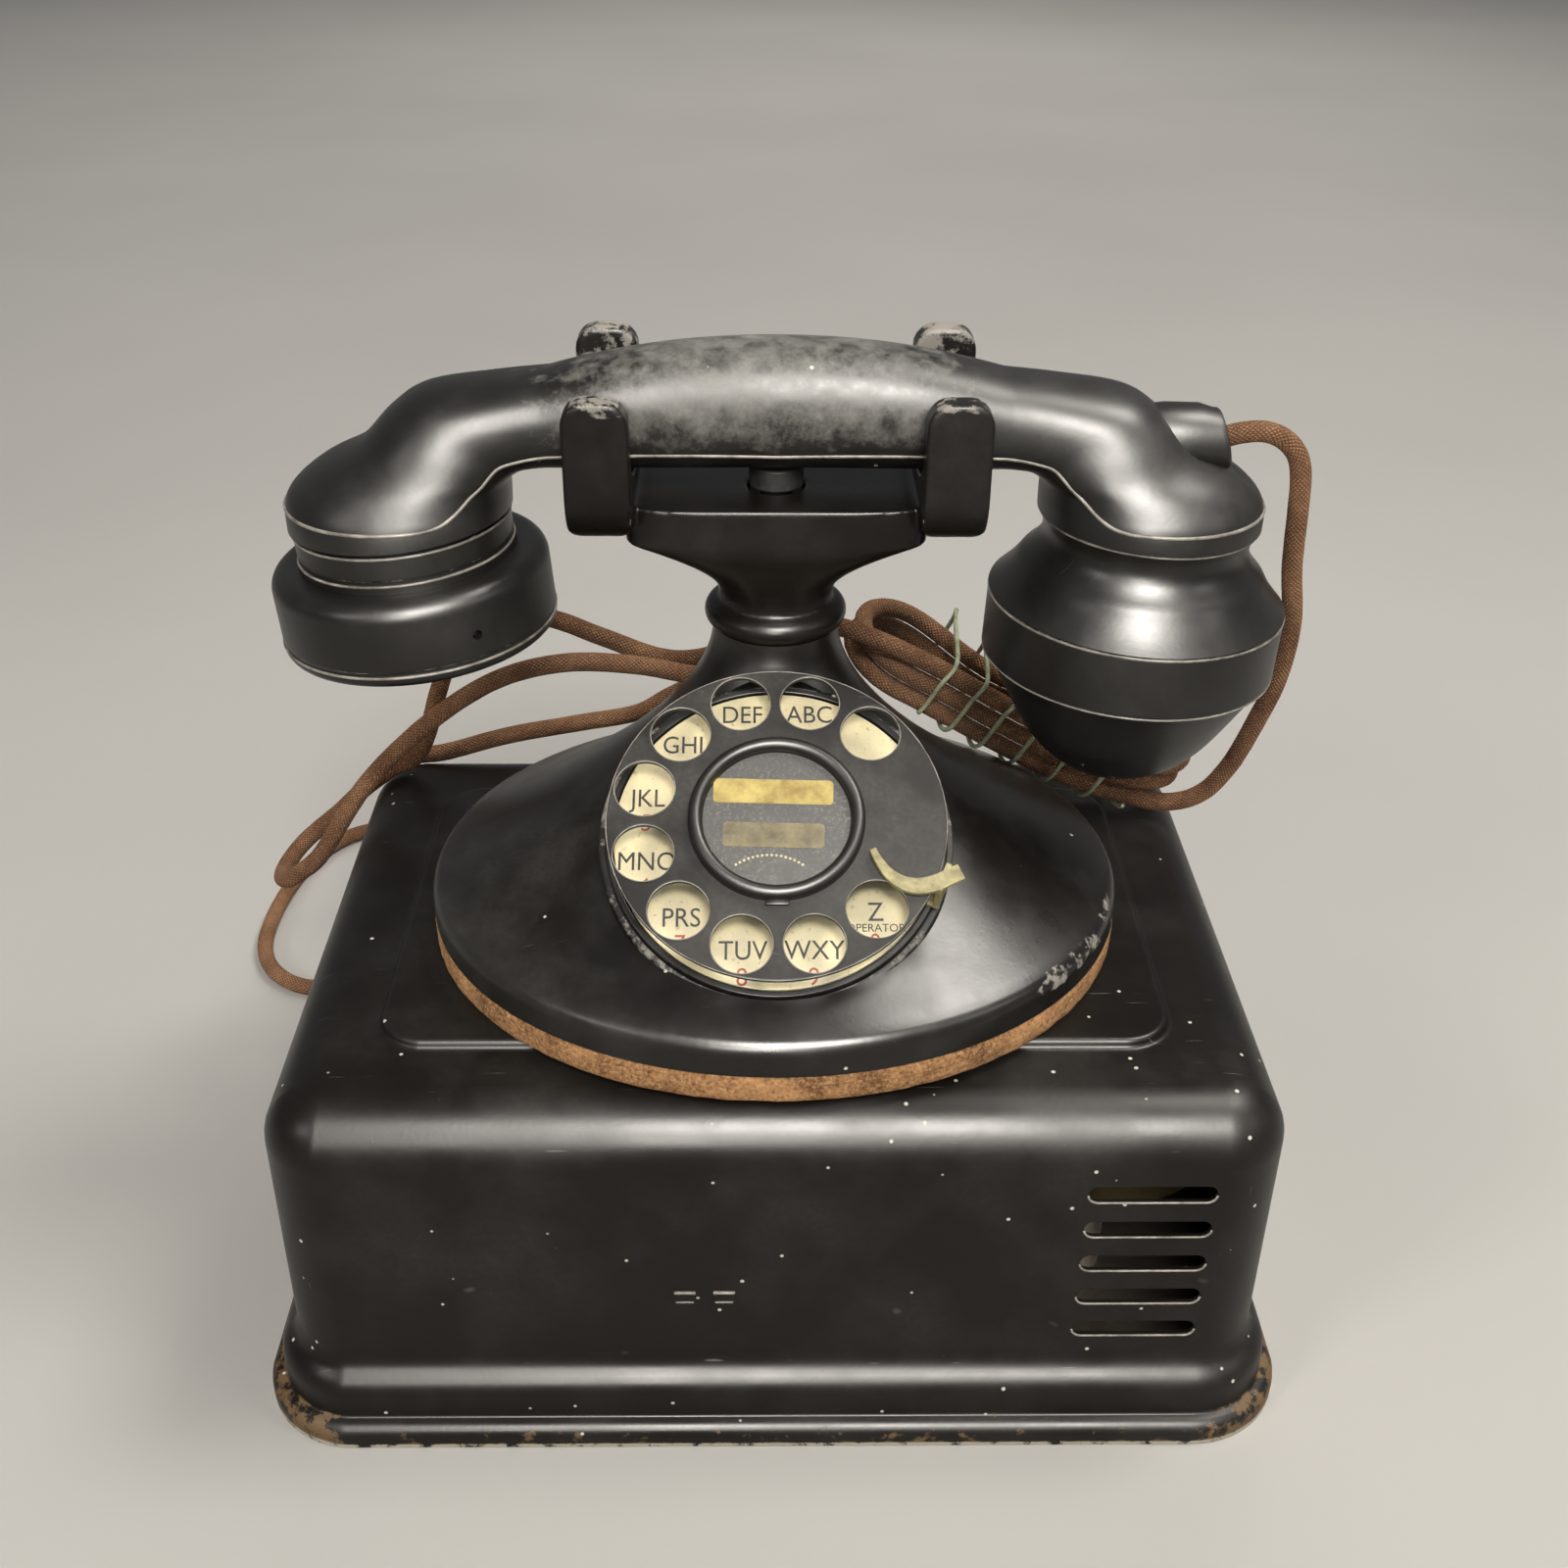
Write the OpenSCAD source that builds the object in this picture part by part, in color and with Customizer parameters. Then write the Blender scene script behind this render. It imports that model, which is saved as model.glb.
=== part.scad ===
// Desk telephone standing on its bell box.
// An oval cast base with a slanted dial and a neck carries a four-pronged
// cradle and a handset; a pressed steel box below it holds the ringer.
// Millimetres, +Z up, +X right, +Y to the back.
// The origin lies on the desk, under the middle of the box.

/* [Bell box] */
// Width of the box across its walls
box_w = 219; // [212:1:232]
// Depth of the box across its walls
box_d = 157; // [152:1:166]
// Height of the flat top above the desk
box_h = 88; // [84:1:100]
// Corner radius of the walls, seen from above
box_corner_r = 15; // [14:0.5:20]
// Radius of the rounded top edges
box_top_r = 13; // [9:0.5:13.5]
// Thickness of the pressed sheet
sheet_t = 1.2; // [0.8:0.1:1.8]
// How far the stepped foot stands out from the walls
step_out = 4.5; // [3:0.5:6]
// Height of the stepped foot
step_h = 17; // [14:0.5:20]
// How far the bottom lip stands out from the stepped foot
lip_out = 3.5; // [2:0.5:5]
// Height of the bottom lip
lip_h = 6; // [5:0.5:8]
// Width of the raised top panel
panel_w = 174; // [168:1:180]
// Depth of the raised top panel
panel_d = 107; // [100:1:112]
// Height of the raised top panel
panel_h = 2; // [1:0.25:3]
// Number of sound slots
slot_count = 5; // [3:1:6]
// Length of a sound slot
slot_len = 27.5; // [18:0.5:32]
// Height of a sound slot
slot_h = 4.6; // [3:0.2:6]
// Distance from slot to slot
slot_pitch = 10; // [8:0.5:11]
// Height of the top slot below the flat top
slot_drop = 19.2; // [17:0.2:24]
// Middle of the slots, from the middle of the box
slot_x = 79.5; // [70:0.5:82]

/* [Ringer] */
// Radius of a gong
gong_r = 27; // [24:0.5:28]
// Height of a gong
gong_h = 16; // [12:0.5:20]
// Wall of a gong
gong_t = 1.5; // [1:0.1:2]
// Gap between the two gongs, where the clapper swings
gong_gap = 8; // [7:0.5:10]
// Radius of a ringer coil
coil_r = 11; // [8:0.5:12]
// Length of a ringer coil
coil_len = 36; // [30:1:40]
// Radius of the clapper ball
clapper_r = 2.6; // [2:0.1:2.8]

/* [Telephone base] */
// Half the width of the oval foot
foot_a = 80; // [77:0.5:84]
// Half the depth of the oval foot
foot_b = 71; // [69:0.5:73]
// Height of the leather-covered sole
sole_h = 7; // [5:0.5:9]
// Height of the upright rim of the casting
rim_h = 5; // [4:0.5:7]
// Wall of the casting
cast_t = 3.5; // [3:0.25:4.5]
// Radius of the neck under the cradle
neck_r = 14.3; // [13.5:0.1:15]
// Height of the casting from the sole to the top of the neck
cast_h = 61; // [59:0.5:64]
// How far the neck stands behind the middle of the box
neck_y = 15; // [14:0.5:17]

/* [Cradle] */
// Radius of the bead where the cradle meets the neck
bead_r = 16.2; // [15.5:0.1:17.5]
// Height from the neck to the top of the cradle body
cradle_h = 33; // [31:0.5:36]
// Distance of each fork from the middle
fork_x = 37.5; // [36:0.5:40]
// Width of a prong
prong_w = 13.8; // [12:0.2:16]
// Thickness of a prong, front to back
prong_t = 6.5; // [5.5:0.25:8]
// Height of the prongs above the fork's seat
prong_h = 20.8; // [18:0.2:22]
// Height of the rear prongs above the front ones
rear_rise = 3.9; // [0:0.1:6]
// Radius of the plunger's head
plunger_r = 6; // [5:0.25:7]
// Travel of the plunger
plunger_travel = 6; // [4:0.5:7]

/* [Dial] */
// Tilt of the dial away from level
dial_tilt = 32.6; // [31:0.2:34]
// Radius of the finger wheel
wheel_r = 36.3; // [35.5:0.1:36.4]
// Thickness of the finger wheel
wheel_t = 1.3; // [1:0.1:1.8]
// Radius of the circle on which the finger holes lie
hole_ring_r = 29.1; // [28.5:0.1:29.4]
// Radius of a finger hole
hole_r = 6.4; // [5.5:0.1:6.6]
// Depth of the number plate below the finger wheel's face
plate_drop = 8.6; // [7:0.2:9.4]
// Radius of the card ring at the middle
card_ring_r = 18.8; // [17:0.2:19.4]
// Teeth of the main gear
gear_teeth = 60; // [60]
// Teeth of the governor pinion
pinion_teeth = 12; // [12]
// Size of a tooth: pitch diameter over number of teeth
gear_module = 0.7; // [0.65:0.01:0.72]

/* [Handset] */
// Distance of each end cup from the middle
cup_x = 83; // [82:0.5:84]
// Radius of the end cups
cup_r = 24.8; // [24:0.1:26]
// Lean of the receiver cup towards the ear
ear_lean = 4.5; // [3:0.25:5]
// Lean of the transmitter cup towards the mouth
mouth_lean = 2.5; // [1:0.25:4]
// Half the height of the grip at its middle
grip_hh = 13.5; // [12.5:0.25:14]
// Half the width of the grip at its middle
grip_hw = 14; // [13:0.25:15]
// Half the height of the grip where it starts to bend down
bend_hh = 10.2; // [9:0.2:11]
// Half the width of the grip where it starts to bend down
bend_hw = 13.3; // [12.5:0.1:14]
// Radius of the ear cap
ear_r = 31; // [29:0.25:33]
// Height of the ear cap
ear_h = 19; // [17:0.5:22]
// Length of the collar between cup and ear cap
collar_h = 9.5; // [8:0.5:12]
// Radius of the transmitter's rim
bell_r = 33.5; // [31:0.25:35]
// Length of the transmitter bell down to its rim
bell_h = 19.5; // [18:0.5:21]
// Height of the transmitter's rim band
band_h = 15.5; // [14:0.5:18]
// Depth of the mouthpiece bowl below the band
bowl_h = 27; // [24:0.5:28]

/* [Cords] */
// Diameter of the cloth-covered cords
cord_d = 4.7; // [4:0.1:4.8]
// Diameter of the wire that ties the hank
tie_d = 1.2; // [0.8:0.1:1.4]

/* [Hidden] */
$fn = 96;

// Clearances
seat_gap = 0.3;
run_gap = 0.06;
slip_gap = 0.1;
// Overlap that makes cuts run clean through
over = 1;

// Colours
black_paint = "#161514";
black_moulding = "#1d1b19";
worn_steel = "#8c8a86";
dark_steel = "#4c4a47";
gong_metal = "#b8a878";
brass = "#b0904c";
cream_enamel = "#e6dcb8";
leather_brown = "#6b472c";
cloth_brown = "#5d4030";
copper_wire = "#7a3f26";
fibre_board = "#3c2c20";
card_paper = "#22211f";
clear_sheet = "#cfc9a4";
tie_green = "#8f9a78";

// Bell box
plate_z = 3;
plate_t = 2;
plate_top = plate_z + plate_t;
step_r = 4.5;
lip_r = 3;
panel_corner_r = 11;
panel_edge_r = 1.5;
panel_top = box_h + panel_h;
tab_w = 4.2;
tab_h = 2;
tab_pitch = 8.6;
tab_proud = 0.4;
bracket_x = -15.6;
bracket_w = 18;
bracket_t = 1.6;
bracket_foot = 14;
tab_z = 39;
screw_r = 2;
screw_head_r = 3.6;
screw_head_h = 2;

// Ringer
ringer_x = 46;
gong_y = -34;
gong_rim_z = plate_top + 44;
gong_x = gong_r + gong_gap / 2;
gong_crown_r = 11;
post_r = 4;
pin_y = -2;
pin_r = 1.5;
arm_bar_h = 8;
arm_bar_z = plate_top + 26;
arm_bar_t = 5;
arm_bar_w = 36;
coil_gap = 6;
coil_x = coil_r + coil_gap / 2;
coil_front_y = pin_y + arm_bar_t / 2 + 1.5;
coil_z = arm_bar_z + arm_bar_h / 2;
yoke_t = 3;
yoke_y = coil_front_y + coil_len;
clapper_z = gong_rim_z + 6;
rod_r = 1;

// Telephone base
foot_y = -2.8;
cast_z = panel_top + sole_h;
neck_z = cast_z + cast_h;
edge_z = rim_h + 3;
flare = 1.9;
sway = 1.3;
neck_bore_r = 8;
bush_r = 4;
bush_x = 9;
bush_z = cast_z + 10;
bush_out_y = foot_y + foot_b + 4;

// Dial, measured along its own axis from the finger wheel's face
dial_y = -35.5;
dial_z = cast_z + 38.3;
plate_t_dial = 0.8;
plate_r = 35.1;
case_r = 36.8;
case_t = 1.6;
case_rim_in = plate_r + 0.4;
case_top = -plate_drop + 0.4;
case_floor = -plate_drop - plate_t_dial;
cup_bore_r = case_r + seat_gap;
cup_wall = 1.3;
cup_rim = -plate_drop - 1.2;
ledge_z = case_floor - case_t;
ledge_in = 34.3;
ledge_t = 4;
first_hole = 45.4;
hole_step = 30;
hole_count = 10;
shaft_r = 3;
hub_r = 6;
gear_t = 2;
gear_z = ledge_z - 3.5;
gear_pitch_r = gear_module * gear_teeth / 2;
pinion_pitch_r = gear_module * pinion_teeth / 2;
pinion_angle = 205;
gear_axes = gear_pitch_r + pinion_pitch_r;
arbor_r = 1.2;
works_depth = 31;
stop_lift = 0.8;
stop_t = 1.2;

// Cradle
bead_tube = 3;
spigot_h = 12;
cradle_z = neck_z + cradle_h;
body_hw = 33;
body_hd = 17;
body_edge = 9;
fork_in = 16.5;
fork_out = fork_in + prong_t;
seat_z = cradle_z + 4.7;
fork_low = cradle_z - 7;

// Handset
handset_y = neck_y;
pivot_x = cup_x - 34;
bend_drop = 3.4;
cup_drop = 25.3;
seat_t = (fork_x - prong_w / 2) / pivot_x;
grip_z = seat_z + seat_gap + bend_drop * seat_t * seat_t + grip_hh + (bend_hh - grip_hh) * pow(seat_t, 2.2);
joint_z = grip_z - cup_drop;

// Plunger
plunger_top = grip_z - grip_hh - seat_gap;
plunger_head_h = 5;
stem_r = 3;
stem_low = cast_z + 22;

// Cords
cord_r = cord_d / 2;
bend_r = 13.8;

// Points of an ellipse
function ellipse(a, b, n) = [for (i = [0 : n - 1]) [a * cos(360 * i / n), b * sin(360 * i / n)]];

// Triangles that close a stack of rings of n points each
function ring_faces(rings, n) = concat(
  [for (r = [0 : rings - 2], i = [0 : n - 1]) each [
    [r * n + i, r * n + (i + 1) % n, (r + 1) * n + i],
    [r * n + (i + 1) % n, (r + 1) * n + (i + 1) % n, (r + 1) * n + i],
  ]],
  [for (i = [1 : n - 2]) [0, i + 1, i]],
  [for (i = [1 : n - 2]) let (b = (rings - 1) * n) [b, b + i, b + i + 1]]
);

// A closed body through a list of rings
module loft(rings) {
  n = len(rings[0]);
  polyhedron([for (r = rings) each r], [for (f = ring_faces(len(rings), n)) [f[2], f[1], f[0]]]);
}

// Smooth step from 0 to 1
function ease(t) = let (u = min(max(t, 0), 1)) u * u * (3 - 2 * u);
function mix(a, b, t) = a + (b - a) * t;
function power(c, n) = sign(c) * pow(abs(c), n);

// Smooth curve through the points of a route, with so many steps from point to point
function bend_point(p, i, t) =
  let (n = len(p) - 1)
  let (a = p[max(i - 1, 0)], b = p[i], c = p[i + 1], d = p[min(i + 2, n)])
  0.5 * (2 * b + (c - a) * t + (2 * a - 5 * b + 4 * c - d) * t * t + (3 * b - a - 3 * c + d) * t * t * t);
function smooth_route(p, steps) = concat(
  [for (i = [0 : len(p) - 2], k = [0 : steps - 1]) bend_point(p, i, k / steps)],
  [p[len(p) - 1]]
);
function unit(v) = v / norm(v);
// Heading at a point of a route; its ends can be set so that they meet a face squarely
function heading(p, i, first, last) =
  i == 0 && !is_undef(first) ? first
  : i == len(p) - 1 && !is_undef(last) ? last
  : unit(p[min(i + 1, len(p) - 1)] - p[max(i - 1, 0)]);
function square_to(v, h) = unit(v - h * (v * h));
// Sideways directions along a route, carried from ring to ring without twist
function sides_of(p, first, last) =
  let (h = heading(p, 0, first, last))
  [for (i = 0, v = square_to(abs(h[2]) < 0.9 ? [0, 0, 1] : [0, 1, 0], h);
    i < len(p);
    i = i + 1, v = i < len(p) ? square_to(v, heading(p, i, first, last)) : v) v];
function tube_rings(p, r, n, first, last) =
  let (v = sides_of(p, first, last))
  [for (i = [0 : len(p) - 1])
    let (h = heading(p, i, first, last), u = v[i], w = cross(h, u))
    [for (k = [0 : n - 1]) p[i] + r * (u * cos(360 * k / n) + w * sin(360 * k / n))]];
module tube(p, r, n, first, last) {
  rings = tube_rings(p, r, n, first, last);
  polyhedron([for (k = rings) each k], ring_faces(len(rings), n));
}
// Least gap of a tube to itself, leaving out points nearer than so many rings along it
function self_gap(p, d, skip) =
  min([for (i = [0 : len(p) - 1], k = [i + skip : 1 : len(p) - 1]) norm(p[i] - p[k])]) - d;

// Section of a pan with rounded top edges
module pan_section(w, h, r) {
  translate([-w / 2, 0]) square([w, h - r]);
  translate([-w / 2 + r, 0]) square([w - 2 * r, h]);
  for (s = [-1, 1]) translate([s * (w / 2 - r), h - r]) circle(r);
}
// Pan with rounded upright corners and rounded top edges
module pan(w, d, h, corner, top) {
  for (sx = [-1, 1], sy = [-1, 1])
    translate([sx * (w / 2 - corner), sy * (d / 2 - corner), 0])
      rotate_extrude()
        intersection() {
          pan_section(2 * corner, h, top);
          square([corner + over, h + over]);
        }
  rotate([90, 0, 0]) translate([0, 0, corner - d / 2]) linear_extrude(d - 2 * corner) pan_section(w, h,
      top);
  rotate([90, 0, 90]) translate([0, 0, corner - w / 2]) linear_extrude(w - 2 * corner) pan_section(d, h,
      top);
}
// Flat plate with rounded corners
module round_plate(w, d, t, r) {
  linear_extrude(t) {
    square([w - 2 * r, d], center = true);
    square([w, d - 2 * r], center = true);
    for (sx = [-1, 1], sy = [-1, 1]) translate([sx * (w / 2 - r), sy * (d / 2 - r)]) circle(r);
  }
}
module slot_shape(l, h) {
  square([l - h, h], center = true);
  for (s = [-1, 1]) translate([s * (l - h) / 2, 0]) circle(h / 2);
}
// Screw standing on its head, which lies below z = 0
module screw_up(r, l, head_r, head_h) {
  cylinder(r = r, h = l);
  difference() {
    translate([0, 0, -head_h]) cylinder(r = head_r, h = head_h);
    translate([-head_r, -0.5, -head_h - over]) cube([2 * head_r, 1, over + head_h / 2]);
  }
}

// Bell box
module box_outer() {
  pan(box_w, box_d, box_h, box_corner_r, box_top_r);
  pan(box_w + 2 * step_out, box_d + 2 * step_out, step_h, box_corner_r + step_out, step_r);
  pan(box_w + 2 * (step_out + lip_out), box_d + 2 * (step_out + lip_out), lip_h,
    box_corner_r + step_out + lip_out, lip_r);
  translate([0, 0, box_h - over]) pan(panel_w, panel_d, panel_h + over, panel_corner_r, panel_edge_r);
}
module box_inner() {
  t = sheet_t;
  translate([0, 0, -over]) {
    pan(box_w - 2 * t, box_d - 2 * t, box_h - t + over, box_corner_r - t, box_top_r - t);
    pan(box_w + 2 * (step_out - t), box_d + 2 * (step_out - t), step_h - t + over,
      box_corner_r + step_out - t, step_r - t);
  }
}
module bracket_tabs(grow, deep) {
  for (s = [-1, 1])
    translate([bracket_x + s * tab_pitch / 2 - tab_w / 2 - grow, -box_d / 2 - tab_proud,
        tab_z - tab_h / 2 - grow])
      cube([tab_w + 2 * grow, deep, tab_h + 2 * grow]);
}
module box_cover() {
  color(black_paint) difference() {
    box_outer();
    box_inner();
    for (k = [0 : slot_count - 1])
      translate([slot_x, -box_d / 2 + sheet_t + over, box_h - slot_drop - k * slot_pitch])
        rotate([90, 0, 0]) linear_extrude(sheet_t + 2 * over) slot_shape(slot_len, slot_h);
    for (m = [0, 1]) mirror([0, m, 0]) bracket_tabs(slip_gap, tab_proud + sheet_t + over);
    translate([box_cord_x, box_d / 2 + over, box_cord_z]) rotate([90, 0, 0])
        cylinder(r = bush_r + slip_gap, h = sheet_t + 2 * over);
  }
}
box_cord_x = -80;
box_cord_z = 30;
bracket_screw_y = -box_d / 2 + sheet_t + seat_gap + bracket_foot / 2;
module box_base_plate() {
  color(dark_steel) difference() {
    translate([0, 0, plate_z])
      round_plate(box_w + 2 * (step_out - sheet_t - seat_gap),
          box_d + 2 * (step_out - sheet_t - seat_gap), plate_t,
        box_corner_r + step_out - sheet_t - seat_gap);
    for (s = [-1, 1]) translate([bracket_x, s * bracket_screw_y, plate_z - over])
        cylinder(r = screw_r + slip_gap, h = plate_t + 2 * over);
  }
}
module cover_bracket() {
  wall_y = -box_d / 2 + sheet_t;
  difference() {
    union() {
      translate([bracket_x - bracket_w / 2, wall_y + slip_gap, plate_top]) cube([bracket_w, bracket_t,
          tab_z + 6 - plate_top]);
      translate([bracket_x - bracket_w / 2, wall_y + slip_gap, plate_top]) cube([bracket_w, bracket_foot,
          bracket_t]);
      bracket_tabs(0, tab_proud + sheet_t + slip_gap + bracket_t / 2);
    }
    translate([bracket_x, bracket_screw_y, plate_top - over]) cylinder(r = screw_r + slip_gap,
        h = bracket_t + 2 * over);
  }
}
module cover_brackets() {
  color(dark_steel) for (m = [0, 1]) mirror([0, m, 0]) cover_bracket();
}
module cover_screws() {
  color(worn_steel) for (s = [-1, 1])
    translate([bracket_x, s * bracket_screw_y, plate_z]) screw_up(screw_r, plate_t + bracket_t + 3,
        screw_head_r, screw_head_h);
}

// Ringer
module ringer_frame() {
  w = 2 * coil_x + 2 * coil_r;
  color(dark_steel) difference() {
    union() {
      translate([ringer_x - w / 2, yoke_y, plate_top]) cube([w, yoke_t, coil_z + coil_r - plate_top]);
      translate([ringer_x - w / 4, pin_y - 6, plate_top]) cube([w / 2, yoke_y + yoke_t - pin_y + 6,
          yoke_t]);
    }
    translate([ringer_x, pin_y, plate_top - over]) cylinder(r = pin_r + slip_gap, h = yoke_t + 2 * over);
  }
}
module ringer_coils() {
  color(copper_wire) for (s = [-1, 1])
    translate([ringer_x + s * coil_x, yoke_y, coil_z]) rotate([90, 0, 0]) {
      cylinder(r = coil_r - 1.5, h = coil_len);
      cylinder(r = coil_r, h = 2);
      translate([0, 0, coil_len - 2]) cylinder(r = coil_r, h = 2);
    }
}
module ringer_magnet() {
  top = coil_z - coil_r - 2;
  color(dark_steel)
    translate([ringer_x - 7, coil_front_y, plate_top + yoke_t]) cube([14, coil_len,
        top - plate_top - yoke_t]);
}
module gong_profile(r, h, crown) {
  intersection() {
    pan_section(2 * r, h, crown);
    square([r + over, h + over]);
  }
}
module gongs() {
  color(gong_metal) for (s = [-1, 1])
    translate([ringer_x + s * gong_x, gong_y, gong_rim_z]) difference() {
      rotate_extrude() gong_profile(gong_r, gong_h, gong_crown_r);
      translate([0, 0, -over]) rotate_extrude() gong_profile(gong_r - gong_t, gong_h - gong_t + over,
          gong_crown_r - gong_t);
      cylinder(r = screw_r + slip_gap, h = gong_h + over);
    }
}
module gong_posts() {
  color(worn_steel) for (s = [-1, 1])
    translate([ringer_x + s * gong_x, gong_y, plate_top]) difference() {
      cylinder(r = post_r, h = gong_rim_z + gong_h - gong_t - plate_top);
      translate([0, 0, gong_rim_z + gong_h - gong_t - plate_top - 8]) cylinder(r = screw_r + slip_gap,
          h = 8 + over);
    }
}
module gong_screws() {
  color(worn_steel) for (s = [-1, 1])
    translate([ringer_x + s * gong_x, gong_y, gong_rim_z + gong_h]) mirror([0, 0, 1])
      screw_up(screw_r, gong_t + 6, screw_head_r, screw_head_h);
}
module armature_pin() {
  color(worn_steel) translate([ringer_x, pin_y, plate_top]) {
    cylinder(r = pin_r, h = arm_bar_z + arm_bar_h + 2 - plate_top);
    translate([0, 0, yoke_t]) cylinder(r = 2 * pin_r, h = arm_bar_z - slip_gap - plate_top - yoke_t);
  }
}
module armature() {
  color(dark_steel) difference() {
    translate([ringer_x - arm_bar_w / 2, pin_y - arm_bar_t / 2, arm_bar_z]) cube([arm_bar_w, arm_bar_t,
        arm_bar_h]);
    translate([ringer_x, pin_y, arm_bar_z - over]) cylinder(r = pin_r + run_gap, h = arm_bar_h + 2 * over);
  }
}
module clapper() {
  foot_y = pin_y - arm_bar_t / 2 - rod_r;
  color(worn_steel) translate([ringer_x, 0, 0]) {
    translate([0, foot_y, arm_bar_z + 1]) cylinder(r = rod_r, h = clapper_z - arm_bar_z - 1);
    translate([0, foot_y, clapper_z]) sphere(rod_r);
    translate([0, foot_y, clapper_z]) rotate([90, 0, 0]) cylinder(r = rod_r, h = foot_y - gong_y);
    translate([0, gong_y, clapper_z]) sphere(clapper_r);
  }
}

// Other fittings of the box
coil_block_l = 76;
coil_block_s = 32;
coil_block_x = -68;
coil_block_y = 44;
module induction_coil() {
  translate([coil_block_x, coil_block_y, plate_top]) {
    color(fibre_board) for (s = [-1, 1])
      translate([s * (coil_block_l / 2 - 1.5) - 1.5, -coil_block_s / 2, 0]) cube([3, coil_block_s,
          coil_block_s]);
    color(copper_wire) translate([-coil_block_l / 2 + 3, 0, coil_block_s / 2]) rotate([0, 90, 0])
        cylinder(r = coil_block_s / 2 - 2, h = coil_block_l - 6);
  }
}
module condenser() {
  color(worn_steel) translate([-70, -34, plate_top]) pan(58, 40, 48, 5, 3);
}
strip_x = -20;
strip_w = 16;
strip_l = 92;
strip_h = 8;
terminal_count = 6;
function terminal_y(k) = (k - (terminal_count - 1) / 2) * strip_l / terminal_count;
module terminal_strip() {
  color(fibre_board) difference() {
    translate([strip_x - strip_w / 2, -strip_l / 2, plate_top]) cube([strip_w, strip_l, strip_h]);
    for (k = [0 : terminal_count - 1]) translate([strip_x, terminal_y(k), plate_top + 2])
        cylinder(r = screw_r + slip_gap, h = strip_h);
  }
}
module terminal_screws() {
  color(brass) for (k = [0 : terminal_count - 1])
    translate([strip_x, terminal_y(k), plate_top + strip_h]) mirror([0, 0, 1]) screw_up(screw_r,
        strip_h - 3, screw_head_r, screw_head_h);
}
bush_collar = 1.2;
bush_stand = 4;
// Sleeve with a collar that ends at z = 0 and lies so far out from what it goes through
module cord_bush(sleeve, collar) {
  mirror([0, 0, 1]) cylinder(r = bush_r, h = sleeve);
  mirror([0, 0, 1]) cylinder(r = bush_r + bush_collar, h = collar);
}
module box_cord_bush() {
  color(black_moulding) translate([box_cord_x, box_d / 2 + bush_stand, box_cord_z]) rotate([-90, 0, 0])
      cord_bush(bush_stand + sheet_t + 2, bush_stand - slip_gap);
}

// Telephone base
function foot_ring(a, b, z, y, n) = [for (p = ellipse(a, b, n)) [p[0], p[1] + y, z]];
// Ring of the casting's bell at height fraction u, drawn in by an inset
function bell_ring(u, inset, n) =
  let (f = pow(1 - u, flare))
  let (a = neck_r + (foot_a - 2 - neck_r) * f - inset, b = neck_r + (foot_b - 2 - neck_r) * f - inset)
  let (y = foot_y + (neck_y - foot_y) * pow(1 - f, sway))
  foot_ring(a, b, cast_z + edge_z - inset + (cast_h - edge_z) * u, y, n);
foot_sides = 60;
bell_steps = 12;
module leather_sole() {
  color(leather_brown) difference() {
    translate([0, foot_y, panel_top]) linear_extrude(sole_h) polygon(ellipse(foot_a, foot_b, foot_sides));
    translate([0, foot_y, foot_plate_z]) linear_extrude(sole_h) polygon(ellipse(foot_a - 3, foot_b - 3,
        foot_sides));
    for (p = foot_screw_places()) translate([p[0], p[1], panel_top - over])
        cylinder(r = screw_head_r + 1, h = sole_h);
  }
}
function foot_screw_places() = [for (a = [90, 210, 330]) [0.72 * foot_a * cos(a),
    foot_y + 0.72 * foot_b * sin(a)]];
foot_plate_t = 3;
foot_plate_z = cast_z - foot_plate_t;
module foot_plate() {
  color(dark_steel) difference() {
    translate([0, foot_y, foot_plate_z]) linear_extrude(foot_plate_t)
      polygon(ellipse(foot_a - 3 - seat_gap, foot_b - 3 - seat_gap, foot_sides));
    for (p = foot_screw_places()) translate([p[0], p[1], foot_plate_z - over]) {
      cylinder(r = screw_r + slip_gap, h = foot_plate_t + 2 * over);
      cylinder(r = screw_head_r + slip_gap, h = over + screw_head_h);
    }
  }
}
boss_r = 5;
boss_h = 7;
module foot_screws() {
  color(worn_steel) for (p = foot_screw_places())
    translate([p[0], p[1], foot_plate_z + screw_head_h]) screw_up(screw_r,
        foot_plate_t - screw_head_h + boss_h - 1, screw_head_r, screw_head_h);
}
module in_dial() {
  translate([0, dial_y, dial_z]) rotate([dial_tilt, 0, 0]) children();
}
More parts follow.
